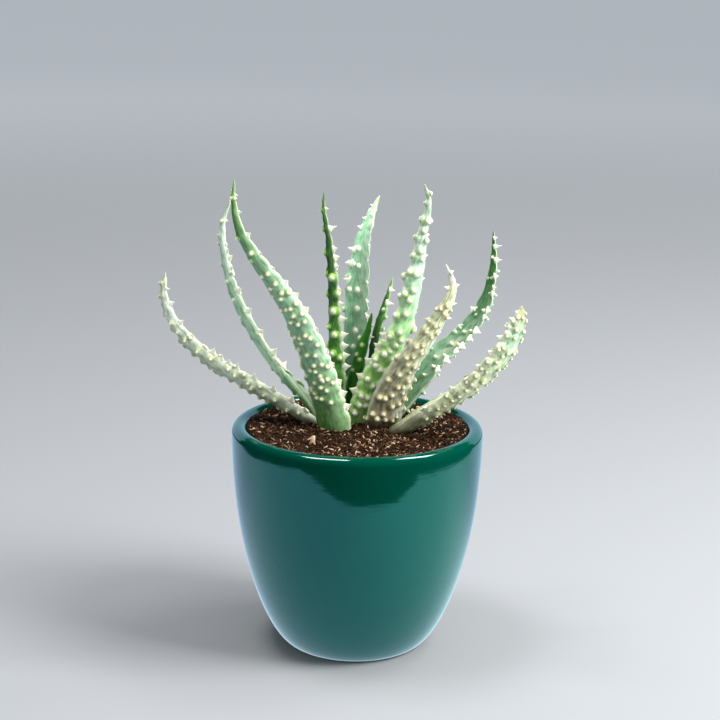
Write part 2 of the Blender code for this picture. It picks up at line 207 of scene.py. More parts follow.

# Each leaf grows in an upright plane through its foot. "line" gives reach along the leaf's
# heading and height above the ground; "inner_low" and "inner_high" say where its inner,
# hollow face looks at the foot and at the tip. "bare" is the length without growths at the
# foot; "tooth_pitch", "rows", "across" and "inner_beads" space the growths that stand by rule.
# "outer" and "inner" name the skin's TINTS at the STATIONS from foot to tip, on each face, and
# "bloomed" is the share of pale painted sheen at its right margin, on the side towards the light.
# "ring" tints the skin round a bead and "mound" swells it there; "crest" and "hollow" are the
# tints of swellings and of dark blotches, partly mottling and partly painted shade of the
# hollows, each with its largest share; "stain" is how far the foot darkens, partly by damp peat
# and partly by painted shade. "beads" and "teeth" are the growths that the photograph shows,
# each by the pixel of its middle or its tip, and a bead also by its share of the leaf's bead
# size.
LEAVES = (
    dict(
        name="leaf_01", foot=(-20, 6.4), heading=180,
        line=((-3, 102.5), (11, 112.7), (33, 125.6), (52.5, 138), (66.5, 152.2), (72.5, 167.7),
              (71.5, 179.6)),
        width=8.6, foot_width=0.75, widest=0.4, taper=4.6, thickness=4.6, channel=-0.1,
        inner_low=(0.3, 0.6, 1.0), inner_high=(1.0, 0.7, 0.3),
        bare=14, tooth=2.3, tooth_pitch=8.0, rows=6.0, across=3, inner_beads=0.3,
        outer=("moss", "sage", "sage", "frost", "straw"),
        inner=("leaf", "lichen", "jade", "jade", "sage"),
        painted_sheen=0.5, bead=0.85, bead_rise=1.0, whiteness=0.9, stain_and_shade=0.75,
        ring="#a8b068", mound=1.7, crest=("#ccd8c4", 0.45), hollow=("#5c5c24", 0.5),
        beads=((171, 323), (178, 332), (185, 340.5), (190, 338), (197, 351.5), (210.5, 359),
               (220, 356.5), (228, 369.5), (234.5, 367), (234.5, 375.5), (244, 375), (240, 384),
               (247.5, 383), (251, 388), (260, 386.5), (263.5, 394.5), (275, 400), (266, 404.5),
               (279, 407.5), (287, 410), (282.5, 413), (298.5, 413), (159.5, 283), (159.5, 296.5),
               (163, 314), (171, 330), (179, 343), (184, 348), (193, 356.5), (202, 362),
               (210, 367.5), (216, 372), (220, 375.5), (230, 381), (240, 388), (248, 395),
               (256, 402)),
        teeth=((170, 289), (174.5, 301.5), (183.5, 320), (193, 334), (204.5, 345), (214.5, 347.5),
               (222, 354), (229, 359.5), (238, 363), (255, 373), (274, 384), (293.5, 395.5),
               (305, 407)),
    ),
    dict(
        name="leaf_02", foot=(-16.5, 15.8), heading=170,
        line=((1, 102.5), (7.5, 113.8), (21.2, 128), (35, 146.6), (45, 166), (50, 186),
              (50.5, 199), (46.5, 211)),
        width=12, foot_width=0.8, widest=0.3, taper=1.9, thickness=4.4, channel=0.45,
        inner_low=(0.93, -0.35, 0.5), inner_high=(1.0, 1.4, 0.3),
        bare=10, tooth=2.6, tooth_pitch=6.2, rows=8.0, across=2, inner_beads=0.0,
        outer=("deep", "jade", "jade", "frost", "sage"),
        inner=("pine", "lichen", "jade", "jade", "sage"),
        painted_sheen=0.4, bead=0.8, bead_rise=1.0, whiteness=0.9, stain_and_shade=0.3,
        ring="#a0b878", mound=1.1, crest=("#c4dcc4", 0.3), hollow=("#3c7a34", 0.5),
        beads=((222, 221), (218.5, 235.5), (218, 244), (221, 265), (227, 281.5), (233.5, 300),
               (241, 317), (241.5, 325), (251.5, 338), (260, 335), (264.5, 347), (268.5, 362),
               (276.5, 372)),
        teeth=((228.5, 220.5), (226.5, 243.5), (229, 249), (232.5, 255.5), (233, 266),
               (232.5, 272), (241, 288), (251.5, 308), (263, 329.5), (277, 348), (287, 360),
               (278, 361), (288.5, 370), (299.5, 382), (310, 396)),
    ),
    dict(
        name="leaf_03", foot=(-11, -2), heading=205,
        line=((-0.5, 102.5), (3, 115.5), (9.2, 136), (18.6, 158), (30, 176), (41, 191.5),
              (48.6, 205), (51, 218), (50.5, 227.5)),
        width=15.8, foot_width=1.0, widest=0.4, taper=1.75, thickness=5.8, channel=0.3,
        inner_low=(0.25, 1.0, 0.2), inner_high=(0.6, 0.9, 0.3),
        bare=19, tooth=2.6, tooth_pitch=9.3, rows=5.2, across=4, inner_beads=0.0,
        outer=("fresh", "jade", "jade", "leaf", "fresh"),
        inner=("leaf", "lichen", "jade", "jade", "sage"),
        painted_sheen=0.2, bead=1.0, bead_rise=1.0, whiteness=1.0, stain_and_shade=0.15,
        ring="#a8bc68", mound=1.05, crest=("#a4bc8c", 0.3), hollow=("#2c6418", 0.45),
        beads=((238, 238), (251, 253), (250.5, 260.5), (262, 276), (267.5, 273.8), (275, 283.8),
               (270.6, 288), (281.3, 293), (273, 295.6), (280.6, 298.8), (288, 292.5),
               (295.6, 303.8), (290, 308.8), (281.9, 309.4), (286.3, 309.6), (301.3, 313.8),
               (293, 315.9), (290.9, 322), (304.4, 321.9), (298, 324.4), (289, 327.5),
               (295.6, 336.9), (300, 338), (305, 335.6), (309.8, 338.5), (293.8, 343),
               (301.9, 343), (299.4, 348.8), (316.9, 345), (306.9, 355), (315, 355.6),
               (301.5, 356.6), (313.8, 365.6), (321.3, 364.8), (326.9, 366.9), (310.6, 370.3),
               (315.3, 371.5), (307.3, 375), (321.3, 379.4), (326.9, 379.4), (315, 382.5),
               (331.9, 383), (320.6, 387.5), (326.3, 390.6), (312.5, 390), (315, 393),
               (310.6, 393), (321.3, 398.8), (316.9, 397.5), (330.6, 402.5), (299, 368),
               (304, 378), (312, 388), (320, 376), (323, 381), (289, 335), (292, 350),
               (297, 366)),
        teeth=((238.5, 195.5), (242, 211.5), (250.5, 232.5), (262, 253), (274.5, 267.5),
               (288, 280), (299, 292.5), (309, 307), (318.5, 328.5), (328.5, 349), (334.5, 362.5),
               (342, 379.5), (347.5, 391.5), (351.5, 404), (231, 189.5)),
    ),
    dict(
        name="leaf_04", foot=(-8, 11), heading=150,
        line=((1, 102.5), (2.5, 128), (4.5, 150), (5.5, 170), (8, 193), (11, 208), (11, 217)),
        width=8.2, foot_width=0.9, widest=0.3, taper=1.9, thickness=4.2, channel=0.2,
        inner_low=(0.8, 0.7, 0.0), inner_high=(0.8, 0.7, 0.0),
        bare=12, tooth=2.4, tooth_pitch=6.4, rows=6.0, across=2, inner_beads=0.0,
        outer=("fresh", "leaf", "deep", "deep", "fresh"),
        inner=("leaf", "lichen", "jade", "jade", "sage"),
        painted_sheen=0.05, bead=1.2, bead_rise=1.0, whiteness=0.7, stain_and_shade=0.3,
        ring="#78ac3c", mound=1.5, crest=("#6aa040", 0.2), hollow=("#143c08", 0.5),
        beads=((326.5, 253, 0.9), (327.5, 274, 0.9), (332.5, 277.5, 1.2), (328.5, 294, 0.9),
               (337, 293.5, 1.2), (334, 311, 1.35), (329.5, 327, 0.9), (335, 334.5, 1.25),
               (328, 346, 0.9), (333.5, 353.5, 1.2), (339.5, 357.5), (333.5, 370.5),
               (321.5, 211, 0.6), (324, 229, 0.7), (325.5, 251, 0.7), (326, 273, 0.8),
               (325.5, 294, 0.8), (325, 345, 0.8), (326, 357, 0.8)),
        teeth=((329, 208.5), (337, 226), (337.5, 248), (339.5, 256), (339, 265.5), (341.5, 290),
               (344.5, 303.5), (348, 318), (351, 333), (350, 345), (351, 354.5), (352.5, 365.5)),
    ),
    dict(
        name="leaf_05", foot=(-2.8, 21.5), heading=60,
        line=((0, 102.5), (0.5, 122), (2, 145), (3.5, 165), (6.5, 185), (12.5, 199), (24, 212)),
        width=11.5, foot_width=0.8, widest=0.4, taper=3.2, thickness=4.0, channel=0.45,
        inner_low=(-0.1, -1.0, 0.2), inner_high=(-0.1, -1.0, 0.2),
        bare=12, tooth=2.1, tooth_pitch=8.0, rows=7.0, across=3, inner_beads=0.8,
        outer=("leaf", "lichen", "jade", "jade", "sage"),
        inner=("pine", "jade", "jade", "jade", "sage"),
        painted_sheen=0.35, bead=1.25, bead_rise=0.9, whiteness=1.0, stain_and_shade=0.3,
        ring="#98c094", mound=0.5, crest=("#c4dcc8", 0.3), hollow=("#2c6c48", 0.4),
        beads=((358, 248.5), (348, 262), (353, 263.5, 0.9), (358.5, 266), (346.5, 276),
               (349, 289), (357.5, 290, 1.15), (357.5, 308.5, 1.2), (343.5, 308.5),
               (355.5, 330.5, 1.15), (360, 338), (353, 346.5), (371.5, 214.5, 0.7)),
        teeth=((370, 204), (362, 217), (357, 225.5), (347.5, 247), (344, 262), (343, 278),
               (371.5, 232), (370.5, 244.5), (368.5, 259.5), (369, 282), (369.5, 301), (370, 316),
               (367, 333)),
    ),
    dict(
        name="leaf_06", foot=(6.5, 19), heading=40,
        line=((0.5, 102.5), (1, 125), (3, 146), (8, 160.5), (12.5, 174)),
        width=6.5, foot_width=1.0, widest=0.3, taper=2.4, thickness=3.2, channel=0.2,
        inner_low=(-0.6, -0.7, 0.3), inner_high=(-0.6, -0.7, 0.3),
        bare=14, tooth=2.3, tooth_pitch=6.5, rows=7.0, across=2, inner_beads=0.5,
        outer=("leaf", "lichen", "jade", "jade", "sage"),
        inner=("deep", "deep", "deep", "leaf", "sage"),
        painted_sheen=0.1, bead=1.1, bead_rise=1.0, whiteness=0.6, stain_and_shade=0.3,
        ring="#78ac40", mound=1.0, crest=("#6aa850", 0.2), hollow=("#103c08", 0.5),
        beads=((384.3, 310), (385, 317, 0.9), (383, 329, 0.9)),
        teeth=((385, 293), (395.5, 290.5), (394, 304), (391, 282)),
    ),
    dict(
        name="leaf_07", foot=(-2, 16), heading=350,
        line=((-1, 102.5), (-0.3, 122), (3.5, 141), (6.5, 150.5), (8.3, 159.5)),
        width=9, foot_width=0.9, widest=0.3, taper=1.9, thickness=3.6, channel=0.2,
        inner_low=(0.2, 1.0, 0.0), inner_high=(0.2, 1.0, 0.0),
        bare=14, tooth=1.9, tooth_pitch=6.5, rows=6.0, across=3, inner_beads=0.0,
        outer=("deep", "leaf", "leaf", "leaf", "fresh"),
        inner=("leaf", "lichen", "jade", "jade", "sage"),
        painted_sheen=0.0, bead=1.0, bead_rise=0.9, whiteness=0.5, stain_and_shade=0.3,
        ring="#5c8c30", mound=0.9, crest=("#3c7a20", 0.2), hollow=("#0c2c04", 0.5),
        beads=((362, 345), (357, 354.5), (359.5, 359.5), (364, 365.5), (353, 370)),
        teeth=((375, 326), (374.5, 337), (366, 331)),
    ),
    dict(
        name="leaf_08", foot=(0, 9.5), heading=355,
        line=((0, 102.5), (1.5, 112), (7, 127.5), (16.5, 143.5), (23, 160.5), (27, 179),
              (29.5, 198), (32, 214), (29.8, 222.5)),
        width=12.2, foot_width=0.7, widest=0.3, taper=2.6, thickness=5.2, channel=0.2,
        inner_low=(-0.6, 0.8, 0.3), inner_high=(-0.6, 0.8, 0.3),
        bare=12, tooth=2.6, tooth_pitch=7.0, rows=6.2, across=3, inner_beads=0.0,
        outer=("shoot", "shoot", "mint", "frost", "sage"),
        inner=("leaf", "lichen", "jade", "jade", "sage"),
        painted_sheen=0.25, bead=1.35, bead_rise=1.0, whiteness=1.0, stain_and_shade=0.05,
        ring="#accc80", mound=1.5, crest=("#dce8d8", 0.4), hollow=("#4c8c44", 0.55),
        beads=((420.5, 219.5, 0.8), (427.5, 221.5, 0.9), (424, 231, 0.8), (425.5, 240.5, 0.9),
               (414.5, 255, 0.9), (420.5, 251, 0.9), (421.5, 259.5, 0.8), (410.5, 272),
               (416, 274, 1.1), (405, 294), (413, 290), (409, 300), (397, 315.5, 1.1),
               (405.5, 314), (391, 335.5, 1.1), (399, 332), (395, 345, 1.05), (400, 340),
               (382, 343.5), (384.5, 354, 1.1), (389.5, 351), (390.5, 359), (376, 359),
               (375.5, 365), (379, 369), (383, 370), (368, 379), (371.5, 385.5), (376, 384.5),
               (361.5, 395.5), (367, 397.5), (359.5, 405), (364.5, 405), (378, 389.5, 0.8),
               (355.5, 413), (424, 203, 0.6), (419.5, 217, 0.7), (414.5, 237, 0.8),
               (409.5, 255, 0.8), (405, 276), (431, 193, 0.7), (412.5, 329, 1.3),
               (401, 296, 0.9)),
        teeth=((430, 234.5), (428, 255), (425, 278), (419.5, 297), (417, 312), (404, 288),
               (377, 331.5), (373, 342), (374.5, 348), (364.5, 357.5), (356, 373), (349, 388)),
    ),
    dict(
        name="leaf_09", foot=(13, 3), heading=335,
        line=((0, 102.5), (2, 117), (8.5, 133), (19, 149), (29.2, 165.5), (33.5, 178),
              (29.5, 188)),
        width=19.0, foot_width=1.0, widest=0.4, taper=1.5, thickness=6.2, channel=0.1,
        inner_low=(-0.4, 0.9, 0.3), inner_high=(-0.5, 0.8, 0.3),
        bare=6, tooth=2.3, tooth_pitch=8.0, rows=4.8, across=4, inner_beads=0.0,
        outer=("bark", "clay", "cream", "cream", "chalk"),
        inner=("leaf", "lichen", "jade", "jade", "sage"),
        painted_sheen=0.55, bead=1.0, bead_rise=0.9, whiteness=0.75, stain_and_shade=0.9,
        ring="#b4a668", mound=1.9, crest=("#dcdcd0", 0.65), hollow=("#4c3c18", 0.6),
        beads=((406.5, 357.5), (397.5, 357.5), (407, 364), (399, 374.5), (388.5, 379.5),
               (407.5, 381), (397.5, 387), (402.5, 387), (391.5, 395), (385, 398.5), (403, 398.5),
               (380, 397.5), (391.5, 406.5), (398, 403.5), (373, 414), (383, 414), (377, 419),
               (441, 309, 0.8), (447, 306, 0.8), (443.5, 313, 0.9), (446, 317, 0.9),
               (450, 310, 0.7), (435, 325.5), (438.5, 325, 0.8), (426.5, 331.5),
               (436.5, 333.5, 0.8), (431, 337, 0.8), (422.5, 345, 0.9), (416, 346.5),
               (408.5, 341.5, 1.1), (413.5, 366.5), (421, 353, 0.8), (363, 417, 0.8),
               (396, 417, 0.7), (392, 421, 0.8), (385, 420, 0.8), (368, 419, 0.8),
               (402, 393, 0.8), (409, 372, 0.8), (413, 357, 0.8), (437, 309.5, 0.8),
               (430, 321.5, 0.8), (414, 380, 0.9), (412, 390, 0.9), (408, 400, 0.9),
               (405, 409, 0.9)),
        teeth=((454, 270.5), (460, 284.5), (457, 303.5), (452, 318.5), (441.5, 332.5),
               (433.5, 344), (426, 357), (420, 369), (443.5, 286.5), (424.5, 318)),
    ),
    dict(
        name="leaf_10", foot=(17, 16), heading=20,
        line=((-3, 103), (8.6, 116.5), (22.1, 134), (39.1, 148), (48.1, 161.6), (51.4, 180.6),
              (50.6, 196.8)),
        width=12, foot_width=0.5, widest=0.3, taper=2.3, thickness=4.2, channel=0.45,
        inner_low=(-0.5, -0.7, 0.6), inner_high=(-0.7, -0.7, 0.2),
        bare=10, tooth=2.2, tooth_pitch=7.0, rows=6.0, across=3, inner_beads=0.9,
        outer=("leaf", "lichen", "jade", "jade", "sage"),
        inner=("pine", "lichen", "lichen", "leaf", "leaf"),
        painted_sheen=0.15, bead=1.0, bead_rise=2.4, whiteness=0.7, stain_and_shade=0.4,
        ring="#80b070", mound=0.6, crest=("#8ab890", 0.3), hollow=("#1c4c20", 0.5),
        beads=((493.5, 257), (493, 278, 0.9), (488.5, 278, 0.7), (474.5, 310, 0.9),
               (476, 315, 0.8), (485.5, 311.5, 1.2), (491, 293.5, 0.8), (455, 332.5, 1.1),
               (464, 332.5, 1.1), (472, 332), (451.5, 344.5, 1.1), (459, 346, 1.1),
               (435.5, 357.5), (445.5, 357, 1.1), (434.5, 367.5, 1.1), (425, 375.5),
               (460, 328, 0.8)),
        teeth=((498, 237), (502, 245.5), (502, 259.5), (499, 276), (496.5, 287), (496, 294),
               (491, 311), (487, 317), (481, 333), (473, 340.5), (466, 348.5), (459, 352),
               (451, 363), (441, 371), (470.5, 306), (459, 324), (431, 349)),
    ),
    dict(
        name="leaf_11", foot=(19, -5), heading=345,
        line=((-1.5, 104), (12, 114.6), (33, 130), (49, 147), (56, 162), (57.5, 171)),
        width=14.5, foot_width=0.5, widest=0.75, taper=9.0, thickness=6.2, channel=-0.1,
        inner_low=(-0.3, 0.0, 1.0), inner_high=(-0.8, 0.6, 0.4),
        bare=12, tooth=2.4, tooth_pitch=7.7, rows=4.6, across=4, inner_beads=0.6,
        outer=("moss", "cream", "cream", "mint", "straw"),
        inner=("moss", "cream", "cream", "mint", "straw"),
        painted_sheen=0.3, bead=0.85, bead_rise=1.0, whiteness=1.0, stain_and_shade=0.75,
        ring="#96a048", mound=1.8, crest=("#f0f4ec", 0.6), hollow=("#4c6818", 0.6),
        beads=((507.5, 335.5), (514, 338), (520, 339), (522, 331), (516, 330), (508, 325),
               (513.5, 322), (518, 318), (522, 318, 0.8), (503, 348), (499, 349.5), (512.5, 353),
               (507, 353), (502, 356), (496, 362), (505, 364), (498, 369), (488, 362), (482, 369),
               (487, 371), (476, 376), (482, 382), (472, 384), (466, 390), (476, 388), (459, 396),
               (452, 400), (445, 405), (438, 408), (430, 410), (436, 415), (426, 418), (467, 382),
               (457, 390), (447, 396), (526, 313.5, 0.9), (527, 321), (525, 332), (521, 343),
               (517, 351.5), (512, 360), (505, 371), (498.5, 378.5), (493.5, 381.5), (489, 388),
               (479, 393.5), (473, 397), (461, 402), (448, 410), (441, 416.5, 0.9),
               (432, 421, 0.9), (424, 424.5, 0.8)),
        teeth=((515, 311), (509, 317), (504, 325), (496, 335.5), (487.5, 350), (475.5, 364),
               (463.5, 378.5), (449, 385.5), (441, 392.5), (424, 407.5), (411, 413.5)),
    ),
)


def linear(hex_colour):
    """An sRGB hex colour as linear red, green and blue."""
    channels = [int(hex_colour[i:i + 2], 16) / 255 for i in (1, 3, 5)]
    return [c / 12.92 if c <= 0.04045 else ((c + 0.055) / 1.055) ** 2.4 for c in channels]


def paint(hex_colour):
    """An sRGB hex colour as a linear value for a colour socket."""
    return (*linear(hex_colour), 1.0)


def add(tree, kind, inputs=None, **settings):
    """Adds a node. A value in inputs is a number, a colour or another node's output socket."""
    node = tree.nodes.new(kind)
    for key, value in settings.items():
        setattr(node, key, value)
    for socket, value in (inputs or {}).items():
        if isinstance(value, bpy.types.NodeSocket):
            tree.links.new(value, node.inputs[socket])
        else:
            node.inputs[socket].default_value = value
    return node


def set_stops(ramp, stops):
    """Sets a colour ramp's stops: pairs of position and sRGB hex colour."""
    elements = ramp.color_ramp.elements
    while len(elements) < len(stops):
        elements.new(1.0)
    for element, (position, hex_colour) in zip(elements, stops):
        element.position = position
        element.color = paint(hex_colour)
    return ramp


def new_material(name):
    """A material with its node tree and its Principled shader."""
    material = bpy.data.materials.new(name)
    material.use_nodes = True
    return material, material.node_tree, material.node_tree.nodes["Principled BSDF"]


def smooth_step(low, high, value):
    """0 at low, 1 at high and an even change between, level beyond them."""
    t = min(1.0, max(0.0, (value - low) / (high - low)))
    return t * t * (3 - 2 * t)


def pixel_ray(x, y):
    """The direction in which the camera sees a pixel of the photograph."""
    across, above = x - PICTURE / 2, PICTURE / 2 - y
    return (VIEW_FORWARD * FOCAL + VIEW_RIGHT * across + VIEW_UP * above).normalized()


def pixel_of(point):
    """The pixel of the photograph at which the camera sees a point, given in metres."""
    offset = point - CAMERA_PLACE
    scale = FOCAL / offset.dot(VIEW_FORWARD)
    return Vector((
        PICTURE / 2 + scale * offset.dot(VIEW_RIGHT), PICTURE / 2 - scale * offset.dot(VIEW_UP)))


def new_piece(name, body, materials):
    """Makes a finished bmesh, in metres, a smooth-shaded object at the origin."""
    mesh = bpy.data.meshes.new(name)
    body.to_mesh(mesh)
    body.free()
    for material in materials:
        mesh.materials.append(material)
    mesh.shade_smooth()
    piece = bpy.data.objects.new(name, mesh)
    bpy.context.scene.collection.objects.link(piece)
    return piece


def dress(piece, node):
    """Seats a piece on the frame in place of a CAD node."""
    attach(piece, "root")
    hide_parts(node)


def spin_profile(profile, segments):
    """Turns a profile of radius and height, in metres, round the Z axis."""
    body = bmesh.new()
    verts = [body.verts.new((radius, 0.0, height)) for radius, height in profile]
    edges = [body.edges.new(pair) for pair in zip(verts, verts[1:])]
    bmesh.ops.spin(
        body, geom=verts + edges, cent=(0, 0, 0), axis=(0, 0, 1),
        angle=math.tau, steps=segments, use_merge=True)
    bmesh.ops.remove_doubles(body, verts=body.verts, dist=1e-6)
    bmesh.ops.recalc_face_normals(body, faces=body.faces)
    return body


def stamp(body, template, matrix):
    """Adds a copy of a template mesh to the body and returns its vertices."""
    first = len(body.verts)
    body.from_mesh(template)
    body.verts.ensure_lookup_table()
    added = body.verts[first:]
    bmesh.ops.transform(body, matrix=matrix, verts=added)
    return added


def pour(source, target):
    """Moves everything of one bmesh into another."""
    mesh = bpy.data.meshes.new("poured")
    source.to_mesh(mesh)
    source.free()
    target.from_mesh(mesh)
    bpy.data.meshes.remove(mesh)


def stoneware_glaze(settings):
    """Deep green glaze over stoneware, fired glossy: it runs a little uneven, so what it
    reflects wavers, and it mirrors its surroundings towards the pot's contour."""
    material, tree, shader = new_material("stoneware_glaze")
    coords = add(tree, "ShaderNodeTexCoord").outputs["Object"]
    pooling = add(tree, "ShaderNodeTexNoise", {"Vector": coords, "Scale": 28.0, "Detail": 3.0})
    tint = add(
        tree, "ShaderNodeMix",
        {"Factor": pooling.outputs["Fac"], "A": (*settings.glaze, 1.0),
         "B": (*settings.glaze_pooled, 1.0)}, data_type="RGBA")
    tree.links.new(tint.outputs["Result"], shader.inputs["Base Color"])
    stretch = add(
        tree, "ShaderNodeMapping", {"Vector": coords, "Scale": (60.0, 60.0, 220.0)})
    waver = add(
        tree, "ShaderNodeTexNoise", {"Vector": stretch.outputs["Vector"], "Scale": 1.0})
    bump = add(
        tree, "ShaderNodeBump",
        {"Height": waver.outputs["Fac"], "Strength": 0.25, "Distance": 0.00025})
    tree.links.new(bump.outputs["Normal"], shader.inputs["Normal"])
    shader.inputs["Roughness"].default_value = 0.09
    shader.inputs["IOR"].default_value = 1.6
    shader.inputs["Specular Tint"].default_value = (0.3, 1.0, 1.0, 1.0)
    return material


def bare_stoneware():
    """Buff stoneware, fired without glaze where the pot stood on the kiln shelf."""
    material, tree, shader = new_material("bare_stoneware")
    coords = add(tree, "ShaderNodeTexCoord").outputs["Object"]
    grog = add(tree, "ShaderNodeTexNoise", {"Vector": coords, "Scale": 900.0, "Detail": 4.0})
    ramp = set_stops(
        add(tree, "ShaderNodeValToRGB", {"Fac": grog.outputs["Fac"]}),
        ((0.35, "#a08c74"), (0.6, "#c4b298")))
    bump = add(
        tree, "ShaderNodeBump",
        {"Height": grog.outputs["Fac"], "Strength": 0.4, "Distance": 0.0002})
    tree.links.new(ramp.outputs["Color"], shader.inputs["Base Color"])
    tree.links.new(bump.outputs["Normal"], shader.inputs["Normal"])
    shader.inputs["Roughness"].default_value = 0.85
    return material


def wall_radius(height, inset):
    """Radius of the pot's wall at a height, measured that far in from its outside."""
    top = POT_HEIGHT - LIP_RADIUS
    part = min(1.0, max(0.0, (height - inset) / (top - inset)))
    rise = (1.0 - (1.0 - part) ** WALL_RISE) ** (1.0 / WALL_BELLY)
    foot = FOOT_RADIUS - inset / 2
    return foot + (POT_RADIUS - inset - foot) * rise


def wall_profile(inset):
    """Radius and height up the wall, with closer steps where it turns under to the foot."""
    top = POT_HEIGHT - LIP_RADIUS
    heights = [inset + (top - inset) * (i / WALL_STEPS) ** 2 for i in range(WALL_STEPS + 1)]
    return [(wall_radius(height, inset), height) for height in heights]


def pot_profile():
    """The pot's section: flat foot, outer wall, round lip, inner wall and inner floor."""
    wall = 2 * LIP_RADIUS
    profile = [(0.0, 0.0), (FOOT_RADIUS - 6 * FOOT_ROUNDING, 0.0)]
    profile += [(FOOT_RADIUS - FOOT_ROUNDING, 0.0)]
    profile += wall_profile(0.0)[1:]
    centre = Vector((POT_RADIUS - LIP_RADIUS, POT_HEIGHT - LIP_RADIUS))
    for i in range(1, LIP_STEPS):
        turn = math.pi * i / LIP_STEPS
        profile.append(tuple(centre + LIP_RADIUS * Vector((math.cos(turn), math.sin(turn)))))
    profile += reversed(wall_profile(wall))
    profile.append((0.0, wall))
    return profile


def peat_and_bark():
    """Potting mix of dark peat, milled: each crumb and chip has a tone of its own, from damp
    black-brown to dry tan bark."""
    material, tree, shader = new_material("peat_and_bark")
    coords = add(tree, "ShaderNodeTexCoord").outputs["Object"]
    tone = add(tree, "ShaderNodeAttribute", attribute_name="tone").outputs["Fac"]
    grain = add(tree, "ShaderNodeTexNoise", {"Vector": coords, "Scale": 1200.0, "Detail": 5.0})
    shade = add(
        tree, "ShaderNodeMath", {0: grain.outputs["Fac"], 1: 0.4, 2: tone},
        operation="MULTIPLY_ADD")
    ramp = set_stops(
        add(tree, "ShaderNodeValToRGB", {"Fac": shade.outputs["Value"]}),
        ((0.15, "#0c0804"), (0.4, "#2c1e12"), (0.6, "#483222"), (0.8, "#785c44"),
         (1.0, "#b8a084")))
    bump = add(
        tree, "ShaderNodeBump",
        {"Height": grain.outputs["Fac"], "Strength": 0.8, "Distance": 0.0004})
    tree.links.new(ramp.outputs["Color"], shader.inputs["Base Color"])
    tree.links.new(bump.outputs["Normal"], shader.inputs["Normal"])
    shader.inputs["Roughness"].default_value = 0.95
    shader.inputs["Specular IOR Level"].default_value = 0.1
    return material


def soil_height(x, y):
    """Height of the loose soil in millimetres, heaped a little against the lip."""
    place = Vector((x, y, 0.0))
    waves = sum(
        height * noise.noise(place / length + Vector(shift))
        for height, length, shift in SOIL_WAVES)
    edge = smooth_step(*HEAP_RADII, math.hypot(x, y))
    return SOIL_LEVEL + SOIL_HEAP * edge + waves * (1 - 0.7 * edge)


def lip_radius_at(height, clearance):
    """Radius of the lip's inner side at a height, drawn in by the clearance."""
    above = height - (POT_HEIGHT - LIP_RADIUS)
    return POT_RADIUS - LIP_RADIUS - math.sqrt((LIP_RADIUS + clearance) ** 2 - above ** 2)


def soil_bed():
    """The soil: a body that fills the pot to the inner slope of its lip, with a rough top."""
    wall = 2 * LIP_RADIUS
    side = [(radius - SOIL_CLEARANCE, height) for radius, height in wall_profile(wall)[::4]]
    side[0] = (side[0][0], wall + SOIL_CLEARANCE)
    low = POT_HEIGHT - LIP_RADIUS
    for share in (0.3, 0.6, 0.85, 1.0):
        height = low + share * (SOIL_TOP - low)
        side.append((lip_radius_at(height, SOIL_CLEARANCE), height))
    rim = side[-1][0]
    top = [(rim * (1 - i / SOIL_RINGS), SOIL_TOP) for i in range(1, SOIL_RINGS + 1)]
    profile = [(0.0, wall + SOIL_CLEARANCE)] + side + top
    bed = spin_profile([(radius * MM, height * MM) for radius, height in profile], SOIL_SEGMENTS)
    tone = bed.verts.layers.float.new("tone")
    for vert in bed.verts:
        patch = noise.noise(vert.co / MM / BED_TONE_LENGTH)
        vert[tone] = BED_TONE + BED_TONE_SPREAD * patch
        if vert.co.z > (SOIL_TOP - 0.01) * MM:
            vert.co.z = min(
                soil_height(vert.co.x / MM, vert.co.y / MM), SOIL_TOP + 0.3) * MM
    return bed


def split_lengthways(grain, cuts):
    """Divides the edges of a soil grain that run along it."""
    along = [edge for edge in grain.edges if abs((edge.verts[0].co - edge.verts[1].co).x) > 1]
    bmesh.ops.subdivide_edges(grain, edges=along, cuts=cuts)


def crumb_templates(draw):
    """Meshes of single soil grains: rounded crumbs, bark chips and bent fibres."""
    templates = []
    for kind in range(GRAIN_KINDS):
        grain = bmesh.new()
        grain.verts.layers.float.new("tone")
        if kind < CRUMB_KINDS:
            bmesh.ops.create_icosphere(grain, subdivisions=1, radius=1.0)
            bmesh.ops.scale(grain, vec=(1.0, 0.8, 0.7), verts=grain.verts)
            wobble = 0.32
        elif kind < CRUMB_KINDS + CHIP_KINDS:
            bmesh.ops.create_cube(grain, size=2.0)
            split_lengthways(grain, 1)
            bmesh.ops.scale(grain, vec=CHIP_SIZE, verts=grain.verts)
            for vert in grain.verts:
                vert.co.y *= 1 - 0.3 * abs(vert.co.x) / CHIP_SIZE[0]
            wobble = 0.2
        else:
            bmesh.ops.create_cone(
                grain, cap_ends=True, segments=3, radius1=0.16, radius2=0.08,
                depth=FIBRE_LENGTH)
            bmesh.ops.rotate(
                grain, matrix=Matrix.Rotation(math.pi / 2, 3, "Y"), verts=grain.verts)
            split_lengthways(grain, 3)
            bend = draw.uniform(0.05, 0.12)
            for vert in grain.verts:
                vert.co.y += bend * vert.co.x ** 2
                vert.co.z += 0.05 * math.sin(2 * vert.co.x)
            wobble = 0.02
        for vert in grain.verts:
            vert.co += wobble * Vector([draw.uniform(-1, 1) for _ in range(3)])
        bmesh.ops.recalc_face_normals(grain, faces=grain.faces)
        mesh = bpy.data.meshes.new(f"grain_{kind}")
        grain.to_mesh(mesh)
        grain.free()
        templates.append(mesh)
    return templates


def random_grain(draw):
    """Kind, size in millimetres and tone of one grain."""
    kind = draw.choices(range(GRAIN_KINDS), GRAIN_SHARES)[0]
    if kind < CRUMB_KINDS:
        return kind, 0.25 + 0.6 * draw.random() ** 2, draw.uniform(-0.05, 0.42)
    light = draw.random() ** 2.2
    if kind < CRUMB_KINDS + CHIP_KINDS:
        return kind, draw.uniform(0.35, 0.85), 0.1 + 0.7 * light
    return kind, draw.uniform(0.35, 0.7), 0.25 + 0.55 * light


